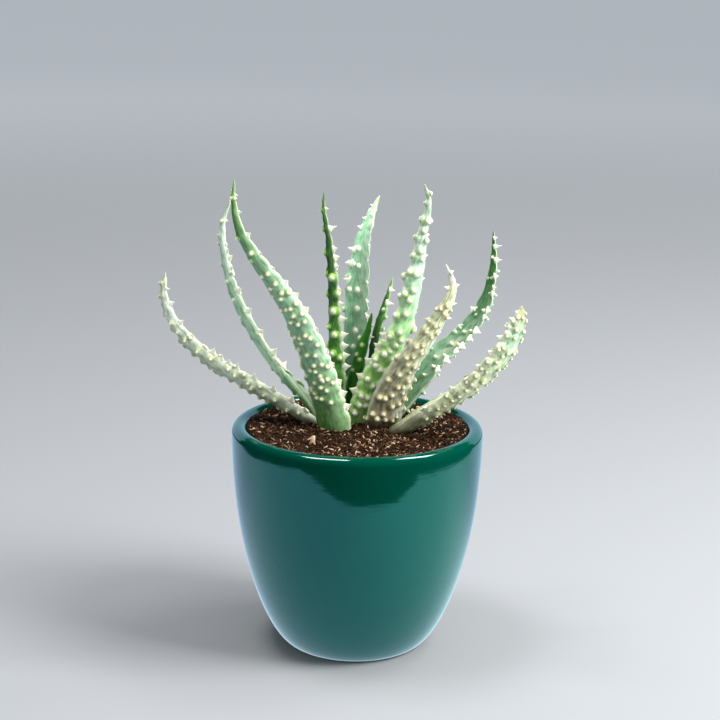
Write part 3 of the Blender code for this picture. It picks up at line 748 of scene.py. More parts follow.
def scatter_crumbs(bed, settings):
    """Strews crumbs, chips and fibres over the bed, and lays the few big chips in view."""
    draw = random.Random(settings.seed)
    templates = crumb_templates(draw)
    reach = POT_RADIUS - 2 * LIP_RADIUS + 0.4
    grains = []
    for _ in range(settings.grains):
        radius = reach * math.sqrt(draw.random())
        angle = draw.uniform(0, math.tau)
        x, y = radius * math.cos(angle), radius * math.sin(angle)
        kind, size, colour = random_grain(draw)
        size *= 1 - 0.4 * smooth_step(reach - 3.0, reach, radius)
        height = soil_height(x, y) + draw.uniform(-0.2, 0.45) * size
        grains.append((Vector((x, y, height)), kind, size, colour))
    for (x, y), size, colour in BARK_SPOTS:
        ray = pixel_ray(x, y)
        place = CAMERA_PLACE + ray * ((SOIL_LEVEL * MM - CAMERA_PLACE.z) / ray.z)
        grains.append((place / MM + Vector((0, 0, 0.5)), CRUMB_KINDS, size * 0.6, colour))
    batch = bmesh.new()
    tone = batch.verts.layers.float.new("tone")
    for number, (place, kind, size, colour) in enumerate(grains):
        turn = Matrix.Rotation(draw.uniform(0, math.tau), 4, "Z")
        turn @= Matrix.Rotation(draw.gauss(0, GRAIN_PITCH), 4, "Y")
        turn @= Matrix.Rotation(draw.gauss(0, GRAIN_ROLL), 4, "X")
        matrix = Matrix.Translation(place * MM) @ turn @ Matrix.Scale(size * MM, 4)
        for vert in stamp(batch, templates[kind], matrix):
            vert[tone] = colour
        if number % GRAIN_BATCH == GRAIN_BATCH - 1 or number == len(grains) - 1:
            pour(batch, bed)
            batch = bmesh.new()
            tone = batch.verts.layers.float.new("tone")
    batch.free()
    for template in templates:
        bpy.data.meshes.remove(template)


def aloe_skin(leaf, settings):
    """Waxy green skin of a succulent leaf: a grey bloom in fine streaks along the leaf and
    on the crest of each swelling, dark green blotches between, partly mottling and partly
    painted shade of the hollows, a pale painted sheen on the side towards the light, hard white
    beads and teeth that rise out of yellower rings, and a foot darkened by damp peat and by
    painted shade."""
    material, tree, shader = new_material("aloe_skin_" + leaf["name"][-2:])

    def mask(name):
        return add(tree, "ShaderNodeAttribute", attribute_name=name).outputs["Fac"]

    def blend(factor, first, second):
        return add(
            tree, "ShaderNodeMix", {"Factor": factor, "A": first, "B": second},
            data_type="RGBA").outputs["Result"]

    def part_of(value, low, high, most):
        return add(
            tree, "ShaderNodeMapRange",
            {"Value": value, "From Min": low, "From Max": high, "To Max": most}).outputs["Result"]

    def lengthways(face):
        ramp = add(tree, "ShaderNodeValToRGB", {"Fac": along})
        tints = [TINTS[name] for name in leaf[face]]
        return set_stops(ramp, tuple(zip(STATIONS, tints))).outputs["Color"]

    along = mask("along")
    skin = blend(mask("inner"), lengthways("outer"), lengthways("inner"))
    # Painted sheen: a pale tint over the side of the leaf that faces the light, on the right.
    painted_sheen = part_of(mask("rightward"), 0.0, 1.0, leaf["painted_sheen"])
    skin = blend(painted_sheen, skin, paint(LIT_SIDE_SHEEN))
    coords = add(tree, "ShaderNodeTexCoord")
    blotches = add(
        tree, "ShaderNodeMapping", {"Vector": coords.outputs["UV"], "Scale": BLOTCHES})
    mottle = add(
        tree, "ShaderNodeTexNoise",
        {"Vector": blotches.outputs["Vector"], "Scale": 1.0, "Detail": 4.0})
    # Dark blotches scattered by noise: partly the skin's own mottling, partly painted shade of
    # the hollows between swellings.
    hollow, hollow_share = leaf["hollow"]
    skin = blend(part_of(mottle.outputs["Fac"], 0.46, 0.62, hollow_share), skin, paint(hollow))
    streaks = add(
        tree, "ShaderNodeMapping", {"Vector": coords.outputs["UV"], "Scale": STREAKS})
    bloom = add(
        tree, "ShaderNodeTexNoise",
        {"Vector": streaks.outputs["Vector"], "Scale": 1.0, "Detail": 5.0})
    crest, crest_share = leaf["crest"]
    skin = blend(part_of(bloom.outputs["Fac"], 0.5, 0.68, 0.4), skin, paint(crest))
    skin = blend(part_of(mask("mound"), 0.25, 0.9, crest_share), skin, paint(crest))
    skin = blend(mask("halo"), skin, paint(leaf["ring"]))
    skin = blend(mask("pale"), skin, (*settings.bead_colour, 1.0))
    height = add(tree, "ShaderNodeSeparateXYZ", {"Vector": coords.outputs["Object"]})
    # Painted shade at the foot, partly real staining by damp peat: darker brown towards the soil.
    low, high = SOIL_LEVEL * MM, (SOIL_LEVEL + STAIN_AND_SHADE_HEIGHT) * MM
    foot_soiling_and_shade = add(
        tree, "ShaderNodeMapRange",
        {"Value": height.outputs["Z"], "From Min": low, "From Max": high,
         "To Min": leaf["stain_and_shade"], "To Max": 0.0}, interpolation_type="SMOOTHSTEP")
    skin = blend(foot_soiling_and_shade.outputs["Result"], skin, paint("#241a0a"))
    tree.links.new(skin, shader.inputs["Base Color"])
    grain = add(
        tree, "ShaderNodeTexNoise",
        {"Vector": coords.outputs["Object"], "Scale": 1400.0, "Detail": 3.0})
    bump = add(
        tree, "ShaderNodeBump",
        {"Height": grain.outputs["Fac"], "Strength": 0.5, "Distance": 0.00015})
    tree.links.new(bump.outputs["Normal"], shader.inputs["Normal"])
    shader.inputs["Roughness"].default_value = 0.4
    shader.inputs["Specular IOR Level"].default_value = 0.35
    shader.inputs["Subsurface Weight"].default_value = 0.1
    shader.inputs["Subsurface Radius"].default_value = (0.8, 1.0, 0.4)
    shader.inputs["Subsurface Scale"].default_value = 0.0012
    return material


def leaf_point(leaf, reach, height):
    """A point of the leaf's upright plane, in millimetres."""
    heading = math.radians(leaf["heading"])
    x, y = leaf["foot"]
    return Vector((x + reach * math.cos(heading), y + reach * math.sin(heading), height))


def smooth_line(points):
    """A smooth curve through the points, as a function of the distance along it."""
    knots = [0.0]
    for a, b in zip(points, points[1:]):
        knots.append(knots[-1] + (b - a).length)
    slopes = []
    for i in range(len(points)):
        low = max(i - 1, 0)
        high = min(i + 1, len(points) - 1)
        slopes.append((points[high] - points[low]) / (knots[high] - knots[low]))

    def at(distance):
        i = 0
        while i < len(points) - 2 and distance > knots[i + 1]:
            i += 1
        span = knots[i + 1] - knots[i]
        t = (distance - knots[i]) / span
        ease = t * t * (3 - 2 * t)
        start = slopes[i] * span * t * (1 - t) ** 2
        end = slopes[i + 1] * span * t * t * (1 - t)
        return points[i].lerp(points[i + 1], ease) + start - end

    return at, knots[-1]


def leaf_rings(leaf):
    """Centre, directions, width, thickness and distance of each ring, in millimetres."""
    line, length = smooth_line([leaf_point(leaf, *pair) for pair in leaf["line"]])
    count = round(length / RING_SPACING)
    rings = []
    for k in range(count + 1):
        part = k / count
        behind = line(max(part - DIRECTION_SPAN, 0) * length)
        ahead = line(min(part + DIRECTION_SPAN, 1) * length)
        forward = (ahead - behind).normalized()
        look = Vector(leaf["inner_low"]).lerp(Vector(leaf["inner_high"]), part)
        inward = (look - look.dot(forward) * forward).normalized()
        slim = (1 - part ** leaf["taper"]) ** WIDTH_POWER
        spread = leaf["foot_width"] + (1 - leaf["foot_width"]) * min(1.0, part / leaf["widest"])
        point = math.sqrt(min(1.0, (1 - part) * length / TIP_LENGTH))
        width = TIP_WIDTH * point + (leaf["width"] - TIP_WIDTH) * slim * spread
        thickness = (leaf["thickness"] - TIP_THICKNESS) * slim ** THICKNESS_POWER
        rings.append(dict(
            centre=line(part * length), forward=forward, inward=inward,
            sideways=forward.cross(inward), width=width,
            thickness=TIP_THICKNESS * point + thickness, distance=part * length, part=part))
    return rings


def ring_at(rings, distance):
    """The ring nearest to a distance along the leaf."""
    return rings[min(len(rings) - 1, max(0, round(distance / RING_SPACING)))]


def section_point(leaf, ring, angle, swell):
    """A point of the crescent section: hollow inner face, full outer face, rounded margins.
    swell holds the two margins' extra reach."""
    depth = abs(math.sin(angle))
    if math.sin(angle) > 0:
        rise = MARGIN_RISE * depth ** MARGIN_ROUNDING - leaf["channel"] * depth ** 2
    else:
        rise = -depth ** OUTER_FULLNESS
    side = math.cos(angle)
    reach = side * ring["width"] / 2
    reach += math.copysign(swell[0 if side > 0 else 1] * abs(side) ** 4, side)
    up = (rise + CENTRING) * ring["thickness"]
    return ring["centre"] + ring["sideways"] * reach + ring["inward"] * up


def margin_root(ring, side):
    """A margin's place on a ring and the direction that it looks in, in millimetres."""
    direction = ring["sideways"] * (1 - 2 * side)
    lift = ring["inward"] * (CENTRING + MARGIN_RISE / 2) * ring["thickness"]
    return ring["centre"] + direction * ring["width"] / 2 + lift, direction


def tooth_length(leaf, ring):
    """A tooth's length on a ring, in millimetres: towards the tip it falls to a half."""
    return leaf["tooth"] * (0.5 + 0.5 * min(1.0, 2.2 * (1 - ring["part"])))


def tooth_tip(ring, root, direction, length):
    """The tip of a tooth that leans a little forward."""
    return root + (direction + TOOTH_LEAN * ring["forward"]) * length


def tooth_places(leaf, rings, draw):
    """The margin teeth as ring, side, root and tip. Each tooth in view of the camera grows
    where its tip meets its pixel; on a margin that shows none they stand by rule."""
    places = []
    for x, y in leaf["teeth"]:
        ray, pixel = pixel_ray(x, y), Vector((x, y))
        best = None
        for ring in rings[:-1]:
            length = tooth_length(leaf, ring)
            for side in (0, 1):
                root, direction = margin_root(ring, side)
                tip = tooth_tip(ring, root, direction, length)
                miss = (pixel_of(tip * MM) - pixel).length
                if best is None or miss < best[0]:
                    best = (miss, ring, side, root, tip)
        _, ring, side, root, tip = best
        offset = CAMERA_PLACE / MM + ray * (tip - CAMERA_PLACE / MM).dot(ray) - root
        offset *= min(1.0, TOOTH_STRETCH * leaf["tooth"] / offset.length)
        places.append((ring, side, root, root + offset))
    for side in (0, 1):
        if any(place[1] == side for place in places):
            continue
        distance = leaf["bare"] + draw.uniform(0, leaf["tooth_pitch"])
        while distance < rings[-1]["distance"] - 2.0:
            ring = ring_at(rings, distance)
            length = tooth_length(leaf, ring) * draw.uniform(0.85, 1.15)
            root, direction = margin_root(ring, side)
            places.append((ring, side, root, tooth_tip(ring, root, direction, length)))
            distance += leaf["tooth_pitch"] * draw.uniform(0.8, 1.2)
    return places


def margin_swell(teeth, distance, width):
    """How far each margin bulges at its teeth's roots, or is hollow between them, at a
    distance along the leaf."""
    swell = [0.0, 0.0]
    for side in (0, 1):
        gaps = [abs(distance - ring["distance"]) for ring, at, _, _ in teeth if at == side]
        if gaps:
            near = math.exp(-(min(gaps) / SCALLOP_SPREAD) ** 2)
            among = smooth_step(SCALLOP_END, SCALLOP_REACH, min(gaps))
            among *= min(1.0, width / SCALLOP_FULL_WIDTH)
            swell[side] = (SCALLOP_DEPTH * near - SCALLOP_CUT * (1 - near)) * among
    return swell


def wrap_skin(leaf, rings, teeth):
    """The leaf's skin: a flat grid wrapped round its rings and closed at foot and tip."""
    skin = bmesh.new()
    masks = {name: skin.verts.layers.float.new(name) for name in MASKS}
    skin.loops.layers.uv.new("UVMap")
    count = len(rings) - 1
    bmesh.ops.create_grid(
        skin, x_segments=count, y_segments=SECTION_POINTS, size=0.5, calc_uvs=True)
    swells = [margin_swell(teeth, ring["distance"], ring["width"]) for ring in rings]
    for vert in skin.verts:
        k = round((vert.co.x + 0.5) * count)
        angle = (vert.co.y + 0.5) * math.tau
        ring = rings[k]
        side = math.cos(angle)
        # How far round the section faces the picture's right, where the light falls: it places
        # the painted sheen.
        rightward = math.copysign(side, side * ring["sideways"].dot(VIEW_RIGHT))
        vert[masks["along"]] = ring["part"]
        vert[masks["inner"]] = smooth_step(-0.12, 0.12, math.sin(angle))
        vert[masks["rightward"]] = smooth_step(-0.3, 0.9, rightward)
        edge = max(0.0, swells[k][0 if side > 0 else 1] / SCALLOP_DEPTH)
        rim = smooth_step(*MARGIN_BAND, abs(side)) * leaf["whiteness"]
        vert[masks["pale"]] = (MARGIN_PALE + (1 - MARGIN_PALE) * min(1.0, edge)) * rim
        vert.co = section_point(leaf, ring, angle, swells[k]) * MM
    uv = skin.loops.layers.uv.active
    girth = leaf["width"] * GIRTH / UV_UNIT
    length = rings[-1]["distance"] / UV_UNIT
    for face in skin.faces:
        for loop in face.loops:
            along, around = loop[uv].uv
            loop[uv].uv = (around * girth, along * length)
    bmesh.ops.remove_doubles(skin, verts=skin.verts, dist=1e-6)
    boundary = [edge for edge in skin.edges if edge.is_boundary]
    bmesh.ops.edgeloop_fill(skin, edges=boundary)
    bmesh.ops.recalc_face_normals(skin, faces=skin.faces)
    skin.normal_update()
    for vert in skin.verts:
        place = vert.co / MM
        wave = SKIN_WAVE * noise.noise(place / SKIN_WAVE_LENGTH)
        wave += SKIN_RIPPLE * noise.noise(place / SKIN_RIPPLE_LENGTH + Vector((5, 5, 5)))
        vert.co += vert.normal * wave * leaf["mound"] * MM
    return skin, masks


def growth_template(name, profile, segments, pale_heights, ring_share, bend):
    """Spins a growth of unit height. It turns pale between two heights, over the share of
    the ring's tint that its foot takes, and bends sideways on its way up."""
    growth = spin_profile(profile, segments)
    halo = growth.verts.layers.float.new("halo")
    pale = growth.verts.layers.float.new("pale")
    for vert in growth.verts:
        height = vert.co.z
        vert[pale] = smooth_step(*pale_heights, height)
        vert[halo] = ring_share
        vert.co.x += bend * (height ** 2 - height) * (height > 0)
    mesh = bpy.data.meshes.new(name)
    growth.to_mesh(mesh)
    growth.free()
    return mesh


def bead_template():
    """A bead: a low dome whose flared skirt sinks into the skin."""
    profile = [(0.0, -1.0), (1.75, -0.8), (1.4, -0.2), (1.08, 0.2), (0.84, 0.52), (0.55, 0.82),
               (0.25, 0.97), (0.0, 1.0)]
    return growth_template("bead", profile, 12, (-0.1, 0.75), ring_share=0.8, bend=0.0)


def tooth_template():
    """A margin tooth: a flat thorn with a long root and hollow flanks, bent towards its tip."""
    profile = [(0.0, -0.35), (0.85, -0.3), (1.0, -0.05), (0.74, 0.14), (0.5, 0.34), (0.29, 0.58),
               (0.11, 0.85), (0.0, 1.0)]
    return growth_template("tooth", profile, 10, (-0.35, 0.0), ring_share=0.3, bend=0.25)


def seen_beads(leaf, skin):
    """Place, outward direction and size of each bead that the photograph shows: the nearest
    vertex of the skin in view, slid along the skin to lie under the bead's pixel."""
    facing = [v for v in skin.verts if v.normal.dot(v.co - CAMERA_PLACE) < 0]
    tree = KDTree(len(facing))
    for index, vert in enumerate(facing):
        tree.insert(pixel_of(vert.co).to_3d(), index)
    tree.balance()
    beads = []
    for x, y, *share in leaf["beads"]:
        vert = facing[tree.find(Vector((x, y, 0.0)))[1]]
        ray = pixel_ray(x, y)
        slant = vert.normal.dot(ray)
        offset = Vector()
        if slant < -0.2:
            reach = vert.normal.dot(vert.co - CAMERA_PLACE) / slant
            offset = CAMERA_PLACE + ray * reach - vert.co
            offset *= min(1.0, BEAD_SLIDE * MM / max(offset.length, 1e-9))
        beads.append((vert.co + offset, vert.normal.copy(), share[0] if share else 1.0))
    return beads


def ruled_beads(leaf, rings, draw):
    """Beads where the photograph shows none of the leaf, in rows that stagger along it."""
    beads = []
    distance = leaf["bare"] + 2.0
    row = 0
    while distance < rings[-1]["distance"] - 5.0:
        ring = ring_at(rings, distance)
        count = max(1, round(leaf["across"] * min(1.0, 0.25 + ring["width"] / leaf["width"])))
        angles = []
        for column in range(count):
            share = (column + 0.5 + 0.35 * (-1) ** row * (count > 1)) / count
            share += draw.uniform(-0.08, 0.08)
            share = min(0.97, max(0.03, share))
            angles.append(math.radians(OUTER_ARC[0] + (OUTER_ARC[1] - OUTER_ARC[0]) * share))
        if draw.random() < leaf["inner_beads"]:
            angles.append(math.radians(draw.uniform(*INNER_ARC)))
        for angle in angles:
            spot = ring_at(rings, distance + draw.uniform(-1.6, 1.6))
            outward = spot["sideways"] * math.cos(angle) * spot["thickness"]
            outward += spot["inward"] * math.sin(angle) * spot["width"]
            place = section_point(leaf, spot, angle, (0.0, 0.0)) * MM
            size = draw.uniform(0.8, 1.1) * min(1.0, 0.6 + spot["width"] / 20)
            near = min((pixel_of(place) - Vector(seen[:2])).length for seen in leaf["beads"])
            if outward.dot(place - CAMERA_PLACE) > 0 or near > SEEN_REACH:
                beads.append((place, outward.normalized(), size))
        distance += leaf["rows"] * draw.uniform(0.85, 1.15)
        row += 1
    return beads


def raise_mounds(leaf, skin, masks, beads):
    """Swells the skin under each bead, tints a ring round it and gives each bead the
    leaf's colours at its place."""
    skin.verts.ensure_lookup_table()
    skin.normal_update()
    tree = KDTree(len(skin.verts))
    for vert in skin.verts:
        tree.insert(vert.co, vert.index)
    tree.balance()
    lifts = {}
    under = []
    for place, _, share in beads:
        size = share * leaf["bead"]
        spread = MOUND_SPREAD * size * MM
        under.append(tree.find(place)[1])
        for _, index, gap in tree.find_range(place, 2.5 * spread):
            bell = math.exp(-(gap / spread) ** 2)
            lifts[index] = max(lifts.get(index, 0.0), bell * size)
    for index, lift in lifts.items():
        vert = skin.verts[index]
        vert.co += vert.normal * lift * leaf["mound"] * MOUND_HEIGHT * MM
        vert[masks["mound"]] = min(1.0, lift)
        vert[masks["halo"]] = max(vert[masks["halo"]], smooth_step(0.6, 1.0, lift))
    return [{name: skin.verts[index][layer] for name, layer in masks.items()} for index in under]


def grow_leaf(leaf, settings, bead, tooth):
    """One leaf: skin, beads and teeth in one mesh."""
    draw = random.Random(leaf["name"])
    rings = leaf_rings(leaf)
    teeth = tooth_places(leaf, rings, draw)
    skin, masks = wrap_skin(leaf, rings, teeth)
    beads = seen_beads(leaf, skin) + ruled_beads(leaf, rings, draw)
    under = raise_mounds(leaf, skin, masks, beads)
    growths = bmesh.new()
    layers = {name: growths.verts.layers.float.new(name) for name in masks}
    for (place, outward, share), tints in zip(beads, under):
        size = share * leaf["bead"]
        radius = settings.bead_size / 2 * size
        rise = radius * settings.bead_rise * leaf["bead_rise"]
        turn = outward.to_track_quat("Z", "Y").to_matrix().to_4x4()
        shift = Matrix.Translation(
            place + outward * MOUND_HEIGHT * leaf["mound"] * size * BEAD_SEAT * MM)
        form = Matrix.Diagonal((radius, radius, rise, 1))
        for vert in stamp(growths, bead, shift @ turn @ form):
            for name in ("along", "inner", "rightward", "mound"):
                vert[layers[name]] = tints[name]
            vert[layers["pale"]] *= leaf["whiteness"]
    for ring, side, root, tip in teeth:
        height = tip - root
        flat = height.cross(ring["forward"])
        axes = Matrix((flat.cross(height).normalized(), flat.normalized(), height.normalized()))
        share = min(1.0, height.length / leaf["tooth"])
        share *= 0.5 + 0.5 * min(1.0, 3 * (1 - ring["part"]))
        size = (TOOTH_ROOT * leaf["tooth"] * share, TOOTH_THICKNESS * share, height.length, 1.0)
        place = Matrix.Translation(root * MM) @ axes.transposed().to_4x4()
        for vert in stamp(growths, tooth, place @ Matrix.Diagonal(size) @ Matrix.Scale(MM, 4)):
            vert[layers["along"]] = ring["part"]
    pour(growths, skin)
    piece = new_piece("aloe_" + leaf["name"], skin, [aloe_skin(leaf, settings)])
    dress(piece, leaf["name"])


def painted_floor(settings):
    """Matt studio paint, a little paler far off, where less of the softboxes' light falls."""
    material, tree, shader = new_material("painted_floor")
    coords = add(tree, "ShaderNodeTexCoord").outputs["Object"]
    reach = add(tree, "ShaderNodeVectorMath", {0: coords}, operation="LENGTH")
    far = add(
        tree, "ShaderNodeMapRange",
        {"Value": reach.outputs["Value"], "From Min": 0.2, "From Max": 3.0},
        interpolation_type="SMOOTHSTEP")
    tint = add(
        tree, "ShaderNodeMix",
        {"Factor": far.outputs["Result"], "A": (*settings.floor, 1.0),
         "B": (*settings.far_floor, 1.0)}, data_type="RGBA")
    tree.links.new(tint.outputs["Result"], shader.inputs["Base Color"])
    shader.inputs["Roughness"].default_value = 1.0
    shader.inputs["Specular IOR Level"].default_value = 0.0
    return material


def lit_card(name, colour, strength):
    """An evenly glowing card."""
    material, _, shader = new_material(name)
    shader.inputs["Base Color"].default_value = (0.0, 0.0, 0.0, 1.0)
    shader.inputs["Specular IOR Level"].default_value = 0.0
    shader.inputs["Emission Color"].default_value = (*colour, 1.0)
    shader.inputs["Emission Strength"].default_value = strength
    return material


def glowing_mirrored_paper(settings):
    """A glowing card, seen in the glaze's reflections alone, in place of white paper in cool
    light:
    painted reflection, brighter towards the right softbox and dimmer behind.
    """
    material, tree, shader = new_material("glowing_mirrored_paper")
    coords = add(tree, "ShaderNodeTexCoord").outputs["Object"]
    place = add(tree, "ShaderNodeSeparateXYZ", {"Vector": coords})
    across = add(
        tree, "ShaderNodeMapRange",
        {"Value": place.outputs["X"], "From Min": -0.08, "From Max": 0.18},
        interpolation_type="SMOOTHSTEP")
    behind = add(
        tree, "ShaderNodeMapRange",
        {"Value": place.outputs["Y"], "From Min": -0.02, "From Max": 0.15},
        interpolation_type="SMOOTHSTEP")
    near = add(
        tree, "ShaderNodeMix",
        {"Factor": across.outputs["Result"], "A": (*settings.paper_left, 1.0),
         "B": (*settings.paper_right, 1.0)}, data_type="RGBA")
    glow = add(
        tree, "ShaderNodeMix",
        {"Factor": behind.outputs["Result"], "A": near.outputs["Result"],
         "B": (*settings.paper_behind, 1.0)}, data_type="RGBA")
    tree.links.new(glow.outputs["Result"], shader.inputs["Emission Color"])
    shader.inputs["Base Color"].default_value = (0.0, 0.0, 0.0, 1.0)
    shader.inputs["Specular IOR Level"].default_value = 0.0
    shader.inputs["Emission Strength"].default_value = settings.paper_light
    return material


def add_mirrored(name, body, material):
    """Adds a stage piece that is in view of glossy rays alone."""
    piece = new_piece(name, body, [material])
    for rays in ("camera", "diffuse", "transmission", "volume_scatter", "shadow"):
        setattr(piece, "visible_" + rays, False)


def add_floor(settings):
    """A wide pale floor."""
    body = bmesh.new()
    bmesh.ops.create_circle(body, cap_ends=True, radius=FLOOR_RADIUS, segments=96)
    new_piece("floor", body, [painted_floor(settings)])


def add_cards(settings):
    """What the glaze mirrors, in view of glossy rays alone: glowing cards, a painted reflection
    of lit paper under and behind the pot, and black cloth beyond it.
    """
    black = lit_card("black_cloth", (0.0, 0.0, 0.0), 0.0)
    dome = bmesh.new()
    bmesh.ops.create_uvsphere(dome, u_segments=48, v_segments=24, radius=CLOTH_RADIUS)
    bmesh.ops.bisect_plane(
        dome, geom=dome.verts[:] + dome.edges[:] + dome.faces[:], dist=1e-6,
        plane_co=(0, 0, CLOTH_LIFT * MM), plane_no=(0, 0, -1), clear_outer=True)
    bmesh.ops.contextual_create(dome, geom=[e for e in dome.edges if e.is_boundary])
    add_mirrored("cloth", dome, black)

    lit = glowing_mirrored_paper(settings)
    paper = bmesh.new()
    outline = [paper.verts.new((x * MM, y * MM, PAPER_LIFT * MM)) for x, y in PAPER_OUTLINE]
    paper.faces.new(outline)
    bmesh.ops.recalc_face_normals(paper, faces=paper.faces)
    add_mirrored("paper", paper, lit)

    wall = bmesh.new()
    bmesh.ops.create_grid(wall, x_segments=1, y_segments=1, size=0.5)
    bmesh.ops.scale(wall, vec=(*BACKDROP_SIZE, 1.0), verts=wall.verts)
    bmesh.ops.rotate(wall, matrix=Matrix.Rotation(math.pi / 2, 3, "X"), verts=wall.verts)
    bmesh.ops.translate(
        wall, vec=(0, BACKDROP_DISTANCE, BACKDROP_SIZE[1] / 2), verts=wall.verts)
    add_mirrored("backdrop", wall, lit)


def add_lights(settings):
    """Soft studio light: two softboxes overhead, one on each side, in an even pale room."""
    world = bpy.data.worlds.new("studio")
    world.use_nodes = True
    background = world.node_tree.nodes["Background"]
    background.inputs["Color"].default_value = (*settings.room, 1.0)
    background.inputs["Strength"].default_value = settings.room_light
    bpy.context.scene.world = world
    # Each mirrored softbox's front is a glowing card seen in reflections alone: painted
    # highlights on the glaze, tinted pink against its cyan specular tint.
    softbox_glow = lit_card("softbox_glow", (1.0, 0.45, 0.45), settings.mirrored_light)
    for name, place, width, depth, share, mirrored in SOFTBOXES:
        data = bpy.data.lights.new(name, "AREA")
        data.shape = "RECTANGLE"
        data.size = width
        data.size_y = depth
        data.energy = settings.power * share
        light = bpy.data.objects.new(name, data)
        light.location = place
        light.visible_glossy = False
        light.rotation_mode = "QUATERNION"
        light.rotation_quaternion = (SOFTBOX_AIM - light.location).to_track_quat("-Z", "Y")
        bpy.context.scene.collection.objects.link(light)
        if not mirrored:
            continue
        front = bmesh.new()
        bmesh.ops.create_grid(front, x_segments=1, y_segments=1, size=0.5)
        bmesh.ops.scale(front, vec=(width, depth, 1.0), verts=front.verts)
        bmesh.ops.translate(front, vec=place, verts=front.verts)
        add_mirrored(name + "_front", front, softbox_glow)


def add_camera():
    """The camera, at the photograph's angle and distance."""
    data = bpy.data.cameras.new("camera")
    data.lens = CAMERA_LENS
    data.sensor_width = SENSOR
    camera = bpy.data.objects.new("camera", data)
    camera.location = CAMERA_PLACE
    camera.rotation_mode = "QUATERNION"
    aim = VIEW_FORWARD.to_track_quat("-Z", "Y")
    roll = Matrix.Rotation(CAMERA_ROLL, 3, "Z").to_quaternion()
    camera.rotation_quaternion = aim @ roll
    bpy.context.scene.collection.objects.link(camera)
    bpy.context.scene.camera = camera


class PotSettings(bpy.types.PropertyGroup):
    """The glaze's colours"""

    glaze: FloatVectorProperty(
        name="Glaze", description="Colour of the glaze where it is thin", subtype="COLOR",
        default=linear("#004234"))
    glaze_pooled: FloatVectorProperty(
        name="Pooled glaze", description="Colour of the glaze where it is thick",
        subtype="COLOR", default=linear("#003a2c"))


class SoilSettings(bpy.types.PropertyGroup):
    """How the loose soil is strewn"""

    grains: IntProperty(
        name="Grains", description="Number of crumbs, chips and fibres", default=7800, min=0)
    seed: IntProperty(name="Seed", description="Seed of the random scatter", default=5)


class LeafSettings(bpy.types.PropertyGroup):
    """Size and colour of the leaves' growths"""

    bead_size: FloatProperty(
        name="Bead size", description="Width of a full-grown bead", default=1.85 * MM,
        subtype="DISTANCE", unit="LENGTH")
    bead_rise: FloatProperty(
        name="Bead rise", description="Height of a bead as a share of its radius", default=0.75,
        subtype="FACTOR")
    bead_colour: FloatVectorProperty(
        name="Bead colour", description="Colour of beads, teeth and margins", subtype="COLOR",
        default=linear("#f8f8de"))


class StageSettings(bpy.types.PropertyGroup):
    """Floor, light and what the glaze mirrors"""

    floor: FloatVectorProperty(
        name="Floor", description="Colour of the floor under the pot", subtype="COLOR",
        default=linear("#989a9c"))
    far_floor: FloatVectorProperty(
        name="Far floor", description="Colour of the floor far from the pot", subtype="COLOR",
        default=linear("#eef0f2"))
    room: FloatVectorProperty(
        name="Room", description="Colour of the room's even light", subtype="COLOR",
        default=linear("#f2f8ff"))
    room_light: FloatProperty(
        name="Room light", description="Strength of the room's even light", default=0.56)
    power: FloatProperty(
        name="Softbox power", description="Power of a softbox", default=4.2, unit="POWER")
    mirrored_light: FloatProperty(
        name="Mirrored softbox", description="Strength of a softbox where glaze mirrors it",
        default=46.0)
    paper_left: FloatVectorProperty(
        name="Paper, left", description="Colour of the mirrored paper's left half",
        subtype="COLOR", default=linear("#b8d0e4"))
    paper_right: FloatVectorProperty(
        name="Paper, right", description="Colour of the mirrored paper's right half",
        subtype="COLOR", default=linear("#d2faff"))
    paper_behind: FloatVectorProperty(
        name="Paper, behind", description="Colour of the paper behind the pot", subtype="COLOR",
        default=linear("#a0b6d0"))
    paper_light: FloatProperty(
        name="Mirrored paper", description="Strength of the paper that the glaze mirrors",
        default=1.8)


class ALOE_OT_pot(bpy.types.Operator):
    """Add the round-bottomed glazed pot"""

    bl_idname = "aloe.pot"
    bl_label = "Glazed Pot"

    def execute(self, context):
        settings = context.scene.aloe_pot
        profile = [(radius * MM, height * MM) for radius, height in pot_profile()]
        body = spin_profile(profile, POT_SEGMENTS)
        for face in body.faces:
            under = face.normal.z < -0.9 and face.calc_center_median().z < FOOT_ROUNDING * MM
            face.material_index = int(under)
        pot = new_piece("glazed_pot", body, [stoneware_glaze(settings), bare_stoneware()])
        dress(pot, "pot")
        return {"FINISHED"}


class ALOE_OT_soil(bpy.types.Operator):
    """Add the potting soil with its crumbs, bark chips and fibres"""

    bl_idname = "aloe.soil"
    bl_label = "Potting Soil"

    def execute(self, context):
        bed = soil_bed()
        scatter_crumbs(bed, context.scene.aloe_soil)
        soil = new_piece("potting_soil", bed, [peat_and_bark()])
        dress(soil, "soil")
        return {"FINISHED"}


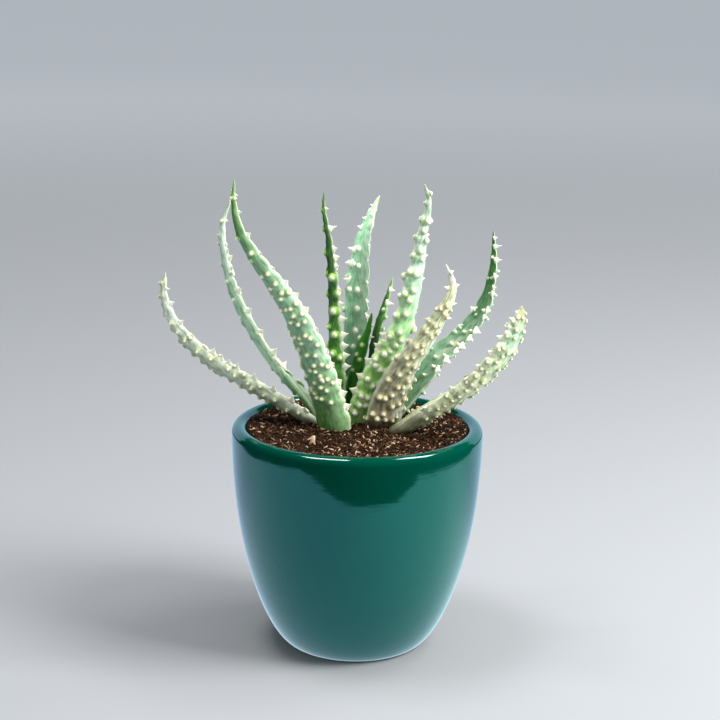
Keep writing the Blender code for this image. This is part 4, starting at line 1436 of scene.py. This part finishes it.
class ALOE_OT_leaves(bpy.types.Operator):
    """Add the aloe's leaves with their beads and margin teeth"""

    bl_idname = "aloe.leaves"
    bl_label = "Aloe Leaves"

    def execute(self, context):
        bead, tooth = bead_template(), tooth_template()
        for leaf in LEAVES:
            grow_leaf(leaf, context.scene.aloe_leaves, bead, tooth)
        bpy.data.meshes.remove(bead)
        bpy.data.meshes.remove(tooth)
        return {"FINISHED"}


class ALOE_OT_stage(bpy.types.Operator):
    """Add the plain floor, the soft lights and the camera"""

    bl_idname = "aloe.stage"
    bl_label = "Stage"

    def execute(self, context):
        settings = context.scene.aloe_stage
        add_floor(settings)
        add_cards(settings)
        add_lights(settings)
        add_camera()
        return {"FINISHED"}


class ALOE_PT_panel(bpy.types.Panel):
    """The settings of each group of pieces, with the button that adds it"""

    bl_idname = "ALOE_PT_panel"
    bl_label = "Potted Aloe"
    bl_space_type = "VIEW_3D"
    bl_region_type = "UI"
    bl_category = "Potted Aloe"

    def draw(self, context):
        scene = context.scene
        groups = (
            ("aloe.pot", scene.aloe_pot, ("glaze", "glaze_pooled")),
            ("aloe.soil", scene.aloe_soil, ("grains", "seed")),
            ("aloe.leaves", scene.aloe_leaves, ("bead_size", "bead_rise", "bead_colour")),
            ("aloe.stage", scene.aloe_stage,
             ("floor", "far_floor", "room", "room_light", "power", "mirrored_light",
              "paper_left", "paper_right", "paper_behind", "paper_light")),
        )
        for operator, settings, names in groups:
            box = self.layout.box()
            for name in names:
                box.prop(settings, name)
            box.operator(operator)


CLASSES = (
    PotSettings, SoilSettings, LeafSettings, StageSettings,
    ALOE_OT_pot, ALOE_OT_soil, ALOE_OT_leaves, ALOE_OT_stage, ALOE_PT_panel,
)
GROUPS = {
    "aloe_pot": PotSettings, "aloe_soil": SoilSettings, "aloe_leaves": LeafSettings,
    "aloe_stage": StageSettings,
}


def register():
    for cls in CLASSES:
        bpy.utils.register_class(cls)
    for name, group in GROUPS.items():
        setattr(bpy.types.Scene, name, PointerProperty(type=group))


def unregister():
    for name in GROUPS:
        delattr(bpy.types.Scene, name)
    for cls in reversed(CLASSES):
        bpy.utils.unregister_class(cls)


def main():
    register()
    bpy.ops.aloe.stage()
    bpy.ops.aloe.pot()
    bpy.ops.aloe.soil()
    bpy.ops.aloe.leaves()
    bpy.context.scene.view_settings.view_transform = "Standard"


if __name__ == "__main__":
    main()
